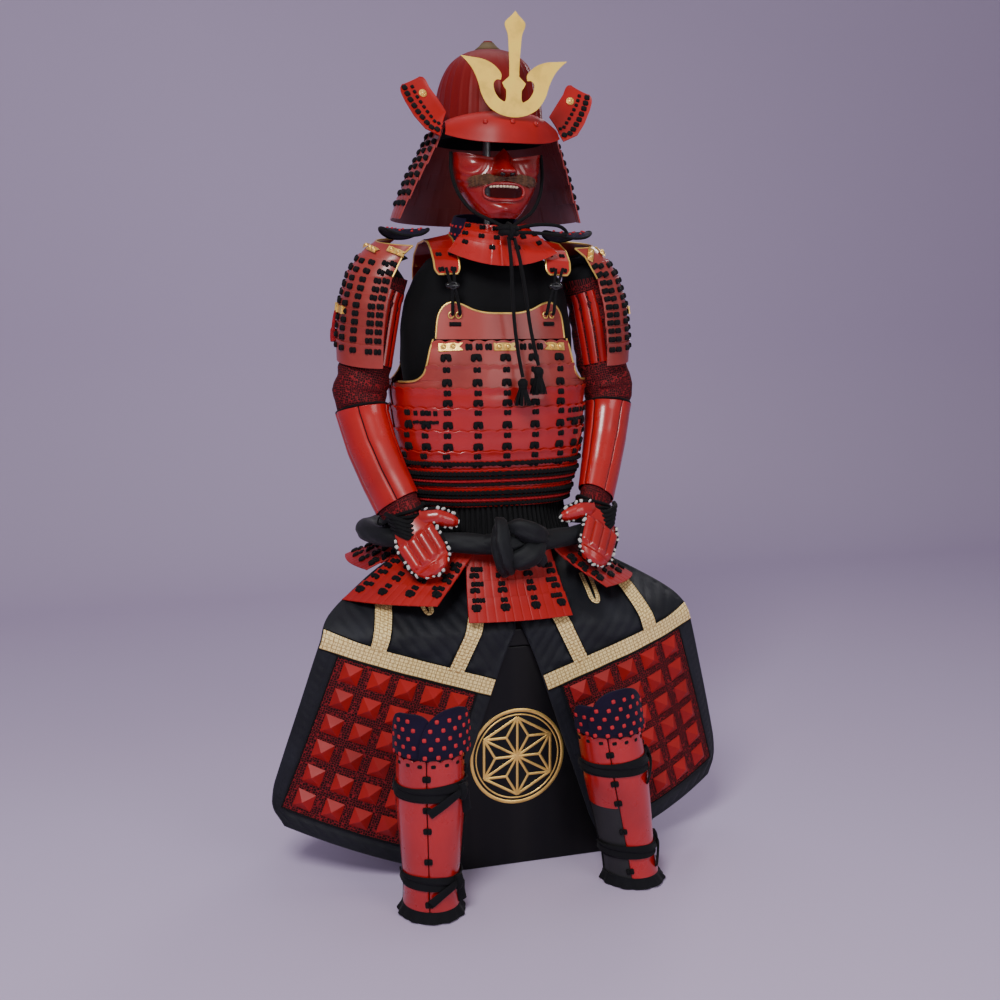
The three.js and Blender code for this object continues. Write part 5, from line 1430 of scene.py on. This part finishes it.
def cut_through(mesh, outline, near, far):
    """The mesh with an opening cut along y; the outline is (x, z) in mm."""
    count = len(outline)
    points = [(x * MM, (y + CENTRE_Y) * MM, z * MM) for y in (near, far) for x, z in outline]
    faces = [list(range(count)), list(range(2 * count - 1, count - 1, -1))]
    faces += [[k, k + count, (k + 1) % count + count, (k + 1) % count] for k in range(count)]
    cutter = bpy.data.meshes.new("cutter")
    cutter.from_pydata(points, [], faces)
    tool = bmesh.new()
    tool.from_mesh(cutter)
    bmesh.ops.recalc_face_normals(tool, faces=tool.faces[:])
    tool.to_mesh(cutter)
    tool.free()
    blade, body = bpy.data.objects.new("cutter", cutter), bpy.data.objects.new("body", mesh)
    for thing in (blade, body):
        bpy.context.scene.collection.objects.link(thing)
    cut = body.modifiers.new("cut", "BOOLEAN")
    cut.operation, cut.object, cut.solver = "DIFFERENCE", blade, "EXACT"
    bpy.context.view_layer.update()
    ready = bpy.data.meshes.new_from_object(body.evaluated_get(bpy.context.evaluated_depsgraph_get()))
    ready.name = mesh.name
    for thing in (blade, body):
        bpy.data.objects.remove(thing)
    ready.shade_smooth()
    ready.set_sharp_from_angle(angle=math.radians(55))
    ready.materials.clear()
    return ready


def make_mask():
    surface = skin(mask, lambda z, c: xyz(0, -20, z))
    t, c = grid(np.linspace(0, 1, 84), np.linspace(-1, 1, 121))
    z = lerp(mask_top(c), 1281, t)
    lift = mask_relief(z, c)
    outer = surface(z, c, lift)
    outer[..., 2] = z
    inner = surface(z, c, np.minimum(lift, 0) - 2.4)
    inner[..., 2] = z
    a = np.linspace(0, 2 * np.pi, 64, endpoint=False)
    outline = np.stack([MOUTH["x"] * power(np.cos(a), 0.62), MOUTH["z"]
                        + MOUTH["high"] * power(np.sin(a), 0.7)], axis=1)
    whole = gather("mask_lacquer", [wall(outer, inner)], 60)
    keep("mask_lacquer", cut_through(whole, outline, -190, -55), MASK_RED, "face_mask")

    def on_mask(x, z, lift):
        w = table(MASK_ROWS, 1, z)
        return surface(z, np.degrees(np.arcsin(np.clip(x / w, -1, 1))) / 90, lift)
    rim = on_mask(40.5 * power(np.cos(a), 0.62), MOUTH["z"] + 16.0 * power(np.sin(a), 0.72), 0.6)
    build("mask_lips", MASK_RED, [tube(rim, 3.1 + 0.9 * np.sin(a) ** 2, 10, closed=True)], sharp=60)
    tooth = small([lump(6.6, 8.0, 4.0)])
    spots = []
    for k in range(9):
        x = (k - 4) * 6.7
        at = on_mask(x, 1342.2 - 0.0016 * x * x, -3.0)
        out = on_mask(x, 1342, -2.0) - on_mask(x, 1342, -3.0)
        spots.append((at, out, np.array((0, 0, 1.0)), (1, 0.9 if abs(k - 4) > 2 else 1.0, 1), 0))
    scatter("mask_teeth", tooth, spots, TEETH)
    # Dark horn lumps at the nostrils are painted shade, standing in for the dark inside the nostril openings.
    nostril_shade_spots = [(on_mask(side * 9.5, 1363.0, 1.6), np.array((side * 0.25, -0.5, -1.0)), np.array((0, -1.0, 0.3)),
              (1, 1, 1), 0) for _, side in SIDES]
    scatter("mask_nostrils", small([lump(9.5, 9.0, 2.4)]), nostril_shade_spots, HORN)

    rng = np.random.default_rng(11)
    hairs = []
    for _, side in SIDES:
        for k in range(230):
            high = rng.uniform(-1, 1)
            start = rng.uniform(0.0, 0.45)
            end = min(0.6 + rng.uniform(0, 0.12), start + rng.uniform(0.12, 0.3))
            t = np.linspace(0, 1, 6)
            c = lerp(start, end, t)
            brush = 9.4 * (0.55 + 0.45 * ramp(c, 0.3)) * (1 - 0.3 * ramp(c - 0.45, 0.25))
            z0 = 1356 + brush * high * lerp(0.8, 1.1, t) - 17 * c * c - rng.uniform(0, 4) * t
            out = (1.4 + 4.2 * (1 - high * high) ** 0.5 * np.sin(np.pi * lerp(0.15, 0.9, t))
                   + rng.uniform(0, 2.6))
            hairs.append(tube(surface(z0, side * c, out), np.interp(t, [0, 0.2, 1], [0.5, 0.75, 0.25]), 4))
    build("moustache_hair", HAIR, hairs, "moustache", sharp=80)


def throat(z, c):
    w, y, sag, bow = look_up(FAN, z)
    return xyz(w * c, -y + bow * c * c, z + sag * c * c)


def make_throat():
    surface = skin(throat, lambda z, c: xyz(0, 60, 1260))
    slats = 11
    columns = slat_columns(slats, -1, 1)
    parts, squares = [], []
    edges = [1268, 1250, 1230, 1190]
    for top, low in zip(edges, edges[1:]):
        parts.append(lame(surface, top, low - (3 if low > 1190 else 0), columns, wave=1.2, proud=1.4,
                          slats=slats))
        for c in (-0.82, -0.28, 0.28, 0.82) if low < 1200 else (-0.9, -0.54, -0.18, 0.18, 0.54, 0.9):
            squares.append(spot(surface, top - 7, c, 1.2, (0.8, 0.8, 1.0)))
    build("throat_lames", BRIGHT, parts, "throat_guard", sharp=50, edge=0.35, turns=1)
    scatter("throat_lacing", small(SQUARE_KNOT), squares, LACING)


make_mask()
make_throat()

# ------------------------------------------------------------------ thigh guards
THIGH = dict(x=52, z=393, lean=math.radians(19), pitch=53.5, stud=42, height=14, u=59, v=63)
LAP = dict(z=484, slope=2.3, ease=56)
BOX = dict(width=404, depth=400, front=-205, height=452, wall=12, lid=36, rim=4)
APRON = [(-180, 12, 180), (-146, 0, 226), (-112, -12, 264), (-75, -8, 298), (-40, -6, 328), (-10, -5, 345),
         (70, -5, 343), (150, -5, 340), (240, -5, 337), (330, -5, 333), (374, 2, 322), (392, 20, 300),
         (398, 40, 280)]


def thigh_surface(side, shift=0.0):
    def surface(v, u):
        u = u + shift * (v / -110)
        lean = THIGH["lean"]
        x = THIGH["x"] + u * math.cos(lean) + v * math.sin(lean)
        z = THIGH["z"] + u * math.sin(lean) - v * math.cos(lean)
        rise = np.clip(z - LAP["z"], 0, None)
        y = (BOX["front"] - 11 + 0.00122 * np.clip(x - 205, 0, None) ** 2
             + LAP["slope"] * rise * rise / (rise + LAP["ease"]))
        return xyz(side * x, y, z)
    return skin(surface, lambda v, u: surface(v, u) + (0, 400, 0))


def make_thighs():
    rows = np.unique(np.concatenate([np.linspace(-180, -8, 44), np.linspace(-8, 370, 80),
                                     np.linspace(370, 398, 10)]))
    for name, side in SIDES:
        surface = thigh_surface(side)
        v = rows[:, None]
        low, high = (sum(table(APRON, k, v + d) for d in (-14, -7, 0, 7, 14)) / 5 for k in (1, 2))
        u = lerp(low, high, np.linspace(0, 1, 93))
        rim = np.minimum(np.minimum(u - low, high - u), np.minimum(398 - v, v + 180))
        above = ramp(-4 - v, 6)
        beside = ramp(27 - rim, 3) * (1 - above)
        slant_rows = np.abs(np.sin(np.pi * (v + 0.75 * u + 5 * np.sin(u / 37)) / 26)) ** 0.45
        creases = np.sin((v * 0.8 - u) / 13 + 1.6 * np.sin(v / 31)) * np.sin(u / 29 + v / 47)
        ripple = np.abs(np.sin((v + u * 0.55 + 3 * np.sin(v / 23)) / 5.2)) ** 0.6
        puff = (3.4 * slant_rows + 2.0 * creases - 1.2) * above + (0.6 + 2.1 * ripple) * beside
        puff = puff * ramp(rim - 5, 5) + 2.4 * bell((rim - 3, 2.4))
        quilt = [wall(surface(v, u, puff), surface(v, u, np.minimum(puff, 0) - 2.6))]
        cloth = build(f"thigh_cloth_{name}", QUILT_CLOTH, quilt, f"thigh_apron_{name}", sharp=60)

        # The field: brocade laid on the cloth, five rows across and six down of hollow pyramids.
        last_u, last_v = THIGH["u"] + 4 * THIGH["pitch"], THIGH["v"] + 5 * THIGH["pitch"]
        fv, fu = grid(np.linspace(THIGH["v"] - 26, last_v + 30, 40),
                      np.linspace(THIGH["u"] - 32, last_u + 32, 36))
        laid = [wall(surface(fv, fu, 2.8 + 0.4 * np.sin(fv / 9) * np.sin(fu / 11)), surface(fv, fu, 1.2))]
        field = build(f"field_brocade_{name}", RED_BROCADE, laid, f"thigh_field_{name}")
        half, high_at = THIGH["stud"] / 2, THIGH["height"]
        profile = [(half, -0.4), (half + 0.4, 0.9), (half - 1.0, 1.9), (half * 0.52, high_at * 0.52),
                   (1.6, high_at - 0.5), (0.3, high_at)]
        corners = [(-1, -1), (0, -1), (1, -1), (1, 0), (1, 1), (0, 1), (-1, 1), (-1, 0)]
        points = np.array([(sx * r, sy * r, z) for r, z in profile for sx, sy in corners])
        faces = ring_faces(len(profile), 8)
        faces += [list(range(7, -1, -1)), list(range(len(points) - 8, len(points)))]
        stud = small([(points, faces, np.zeros((len(points), 2)))], 20)
        spots = []
        for r in range(6):
            for k in range(5):
                at_v, at_u = THIGH["v"] + r * THIGH["pitch"], THIGH["u"] + k * THIGH["pitch"]
                at = surface(at_v, at_u, 2.6)
                spots.append((at, surface(at_v, at_u, 4) - at, surface(at_v - 8, at_u, 2.6) - at,
                              (0.87, 0.87, 1.05), 0))
        scatter(f"field_studs_{name}", stud, spots, SATIN)
        first_v, first_u, end_v, end_u = THIGH["v"] - 27, THIGH["u"] - 33, last_v + 31, last_u + 33
        turns = [(first_v, first_u), (first_v, end_u), (end_v, end_u), (end_v, first_u), (first_v, first_u)]
        loop = np.concatenate([np.linspace(p, q, n) for p, q, n in zip(turns, turns[1:], (40, 48, 40, 48))])
        edging = build(f"field_piping_{name}", LACING, [tube(surface(*loop.T, 3), 1.7, 6, closed=True)])

        # Gold brocade band, its two straps and one flat loop, with cord piping along the edges of band and
        # straps.
        bv, bu = grid(np.linspace(-1, 34, 9), np.linspace(-3, 341, 60))
        bands = [wall(surface(bv, bu, 3.6 + 0.5 * np.sin(bu / 13)), surface(bv, bu, 2.0))]
        cords = []
        for centre, lean in ((80, -14), (240, 0)):
            slant = thigh_surface(side, lean)
            sv, su = grid(np.linspace(-112, 5, 30), np.linspace(centre - 16, centre + 16, 9))
            bands.append(wall(slant(sv, su, 4.6), slant(sv, su, 2.8)))
            for edge in (-16, 16):
                cords.append(tube(slant(np.linspace(-112, 0, 30), centre + edge, 4.0), 1.3, 6))
        path = smooth_path(surface([-124, -104, -88, -81, -86, -102, -122],
                                   [166, 158, 152, 158, 166, 174, 182], 5.0), 6)
        bands.append(tube(path, 4.6, 10, flat=0.3, up=(1, 0, 0.1)))
        for edge in (-1, 34):
            cords.append(tube(surface(edge, np.linspace(-3, 341, 60), 3.2), 1.5, 6))
        band = build(f"band_brocade_{name}", GOLD_BROCADE, bands, f"thigh_band_{name}")
        build(f"band_piping_{name}", LACING, cords)


# ------------------------------------------------------------------ shins
LEGS = {"right": dict(x=-213, y=-340, yaw=-10, lean=0), "left": dict(x=198, y=-325, yaw=-21, lean=-54)}
SHIN = dict(height=310, flap=106, wrap=118)
SHIN_ROWS = [(0, 56, 62), (20, 50, 56), (60, 49, 53), (130, 55, 58), (210, 62, 62), (310, 61, 60),
             (420, 63, 50)]


def leg_surface(side):
    leg = LEGS[side]
    turn = -leg["yaw"]

    def place(p):
        x, y, z = p[..., 0], p[..., 1], p[..., 2]
        return xyz(x * cosd(turn) - y * sind(turn) + leg["lean"] / SHIN["height"] * z + leg["x"],
                   x * sind(turn) + y * cosd(turn) + leg["y"], z)

    def surface(z, angle):
        across, deep = look_up(SHIN_ROWS, z)
        return place(xyz(across * sind(angle), -deep * cosd(angle), z))
    return skin(surface, lambda z, a: place(xyz(0, 0, z)))


def make_shins():
    squares, dots = [], []
    for side in ("right", "left"):
        surface = leg_surface(side)
        seams = [-118, -30, 62, 118] if side == "right" else [-118, -44, 66, 118]
        plates = []
        for low, high in zip(seams, seams[1:]):
            inmost = low == 62 or high == -44
            foot = 166 if inmost else 15
            u = np.linspace(low + 0.8, high - 0.8, int((high - low) / 1.6))
            share = (u - low) / (high - low)
            tabs = max(2, round((high - low) / 22))
            top = SHIN["height"] - 5 * (1 - np.abs(np.sin(np.pi * share * tabs)) ** 0.6)
            rise = np.concatenate([[0, 0.01], np.linspace(0.06, 0.94, 14), [0.985, 1]])
            v = lerp(foot, top, rise[:, None])
            crown = 1.8 * ramp(np.minimum(u - u[0], u[-1] - u), 4) ** 0.6 - 0.4 + 1.2 * np.sin(np.pi * share)
            plates.append(wall(surface(v, u, crown), surface(v, u, crown - 3)))
            for k in range(tabs):
                dots.append(spot(surface, SHIN["height"] - 11, lerp(low, high, (k + 0.5) / tabs), 1.8,
                                 (1.5, 1.1, 1)))
        build(f"shin_plates_{side}", BRIGHT, plates, f"shin_guard_{side}", sharp=50, edge=0.7)
        zz, aa = grid(np.linspace(2, 300, 26), np.linspace(-116, 116, 49))
        lining = build(f"shin_lining_{side}", BLACK_CLOTH,
                       [wall(surface(zz, aa, -2.6), surface(zz, aa, -4.4))])
        for z0 in (34, 118, 178, 218, 276):
            for a in seams[1:3]:
                squares.append(spot(surface, z0, a, 1.0, (1.05, 1.0, 1.2)))
        zz, aa = grid(np.linspace(0.6, 20, 8), np.linspace(-119, 119, 140))
        flare = (3.2 + 4.5 * ramp(14 - zz, 14) + (1.5 * np.sin(aa / 5.3) + np.sin(aa / 3.1 + 1))
                 * (1 - zz / 22))
        hem = [wall(surface(zz, aa, flare), surface(zz, aa, 0.4))]
        for a in (-118, 118):
            hem.append(tube(surface(np.linspace(1, 304, 30), a, 0.2), 2.4))
        build(f"shin_hem_{side}", BLACK_CLOTH, hem)
        a0, a1 = (62, 117) if side == "right" else (-117, -44)
        zz, aa = grid(np.linspace(14, 172, 12), np.linspace(a0, a1, 18))
        build(f"shin_leather_{side}", LEATHER,
              [wall(surface(zz, aa, 0.2 + 0.5 * np.sin(zz / 17 + aa / 30)), surface(zz, aa, -1.8))])

        # Knee flap: two quilted round-headed lobes, the broad one over the narrow one.
        lobes, marks = [], []
        pair = (((-58, 48, 99, 0), (17, 59, 106, 4.2)) if side == "right"
                else ((-72, 34, 76, 0), (-6, 66, 106, 4.2)))
        for middle, half, tall, under in pair:
            v, c = grid(np.linspace(0, 1, 34), np.linspace(-0.992, 0.992, 51))
            head = tall * ramp(1 - np.abs(c) ** (2.5 if under else 4)) ** 0.45
            z = SHIN["height"] - 14 + v * head
            rim = np.minimum((1 - np.abs(c)) * half, (1 - v) * head)
            puff = 1.6 + 1.4 * np.sin(np.pi * ramp(v)) * (1 - c * c) + 1.3 * bell((rim - 3, 2.2))
            tuck = ramp(z - SHIN["height"] + 3, 10)
            lift = lerp(-2.2, 5.4 + under + puff, tuck)
            lobes.append(wall(surface(z, middle + half * c, lift), surface(z, middle + half * c, lift - 4.2)))
            for r, z0 in enumerate(np.arange(SHIN["height"] + 8, SHIN["height"] + 84, 16)):
                for a in np.arange(middle - half + 11 + (r % 2) * 9, middle + half - 6, 19):
                    edge = (SHIN["height"] - 14
                            + tall * max(0, 1 - abs((a - middle) / half) ** (2.5 if under else 4)) ** 0.45)
                    if z0 < edge - 9 and not (under == 0 and a > pair[1][0] - pair[1][1] + 2):
                        marks.append(spot(surface, z0, float(a), 7.9 + under, (1, 1, 1)))
        piece = build(f"flap_cloth_{side}", NAVY_CLOTH, lobes, f"knee_flap_{side}", sharp=60)
        scatter(f"flap_marks_{side}", small([lump(8.0, 8.0, 1.8)]), marks, RED_DOT)
        for label, z0, high in (("upper", 246, 14), ("lower", 72, 13)):
            zz, aa = grid(np.linspace(z0 - high, z0 + high, 13), np.linspace(-120, 120, 90))
            rows = (zz - z0) / high
            fold = (1.5 * np.sin(rows * 5.5 + aa / 26) + 0.8 * np.sin(rows * 11 + aa / 13)
                    - 1.4 * np.abs(rows) ** 4)
            slip = 3.4 * np.sin(aa / 31 + z0) * (0.6 + 0.4 * rows)
            tie = build(f"tie_{label}_{side}", BLACK_CLOTH,
                        [wall(surface(zz + slip, aa, 6.4 + fold), surface(zz + slip, aa, 3.8))],
                        f"{label}_tie_{side}", sharp=70)
            ends = []
            knot = 30 if side == "right" else 74
            for way, drop in ((-1, 34), (1, 46)):
                reach = np.array([0, 16, 36, 56]) * (1 if way < 0 else 0.35)
                run = smooth_path(surface([z0, z0 - 4, z0 - 0.55 * drop, z0 - drop], knot + way * reach,
                                          [10, 12, 8.5, 8]), 6)
                ends.append(tube(run, np.interp(np.linspace(0, 1, len(run)), [0, 0.3, 1], [5.0, 7.5, 9.5]),
                                 12, flat=0.24, up=(0, 0.2, 1) if way < 0 else (1, 0.3, 0)))
            ends.append(cord(surface([z0 - 13, z0, z0 + 13], knot, [8, 12.5, 8]), 7.5, 12))
            build(f"tie_knot_{label}_{side}", BLACK_CLOTH, ends, sharp=70)
    scatter("shin_lacing", small(SQUARE_KNOT), squares, LACING)
    scatter("shin_dots", small([lump(6, 6, 2.4)]), dots, LACING)


# ------------------------------------------------------------------ armour box
def open_box(x, y0, y1, z0, z1, wall_at, floor_at, upward=True):
    """A box open at one end: outer size, wall and floor thickness."""
    def ring(inset, z):
        return [(-x + inset, y0 + inset, z), (x - inset, y0 + inset, z), (x - inset, y1 - inset, z),
                (-x + inset, y1 - inset, z)]
    shut, mouth = (z0, z1) if upward else (z1, z0)
    deep = shut + floor_at if upward else shut - floor_at
    points = np.array(ring(0, shut) + ring(0, mouth) + ring(wall_at, mouth) + ring(wall_at, deep), float)
    faces = [[3, 2, 1, 0]]
    for k in range(3):
        faces += [[k * 4 + i, k * 4 + (i + 1) % 4, k * 4 + 4 + (i + 1) % 4, k * 4 + 4 + i] for i in range(4)]
    faces.append([12, 13, 14, 15])
    if not upward:
        faces = [f[::-1] for f in faces]
    return points, faces, points[:, [0, 2]]


def make_box():
    x, y0, y1 = BOX["width"] / 2, BOX["front"], BOX["front"] + BOX["depth"]
    body = [open_box(x, y0, y1, 0, BOX["height"], BOX["wall"], BOX["wall"])]
    build("box_lacquer", BOX_LACQUER, body, "armour_box", sharp=30, edge=3.0, turns=4)
    z0 = BOX["height"] + 0.4
    out = BOX["rim"]
    lid = [open_box(x + out, y0 - out, y1 + out, z0, z0 + BOX["lid"], BOX["wall"], BOX["wall"], upward=False)]
    build("lid_lacquer", BOX_LACQUER, lid, "box_lid", sharp=30, edge=3.5, turns=4)

    # A hemp-leaf star in a ring, in gold lacquer on the front.
    centre, star, y = 226, 80, y0 - 0.2
    lines = []
    a = np.linspace(0, 2 * np.pi, 97)[:-1]
    for r, broad in ((95, 3.4), (86, 1.6)):
        lines.append(tube(xyz(r * np.cos(a), y, centre + r * np.sin(a)), 0.8, 8, closed=True,
                          flat=broad / 0.8, up=(0, 1, 0)))

    def bar(p, q):
        lines.append(tube([(p[0], y, centre + p[1]), (q[0], y, centre + q[1])], 0.8, 8, flat=2.6 / 0.8,
                          up=(0, 1, 0)))
    tips = [np.array((star * math.sin(k * math.pi / 3), star * math.cos(k * math.pi / 3))) for k in range(6)]
    for k in range(6):
        p, q = tips[k], tips[(k + 1) % 6]
        heart = (p + q) / 3
        bar((0, 0), p)
        bar(p, q)
        for end in ((0, 0), p, q):
            bar(end, heart)
    build("box_ornament", GILT, lines)


make_thighs()
make_shins()
make_box()

# ------------------------------------------------------------------ floor
floor = bpy.data.meshes.new("floor")
sweep = [(-8, 0), (2.4, 0),
         *((2.4 + math.sin(t), 1 - math.cos(t)) for t in np.linspace(0.1, math.pi / 2, 14)), (3.4, 8)]
floor.from_pydata([(x, y, z - 0.0005) for y, z in sweep for x in (-12, 12)], [],
                  [(2 * k, 2 * k + 1, 2 * k + 3, 2 * k + 2) for k in range(len(sweep) - 1)])
floor.shade_smooth()
floor.materials.append(FLOOR)
ground = bpy.data.objects.new("floor", floor)
bpy.context.scene.collection.objects.link(ground)
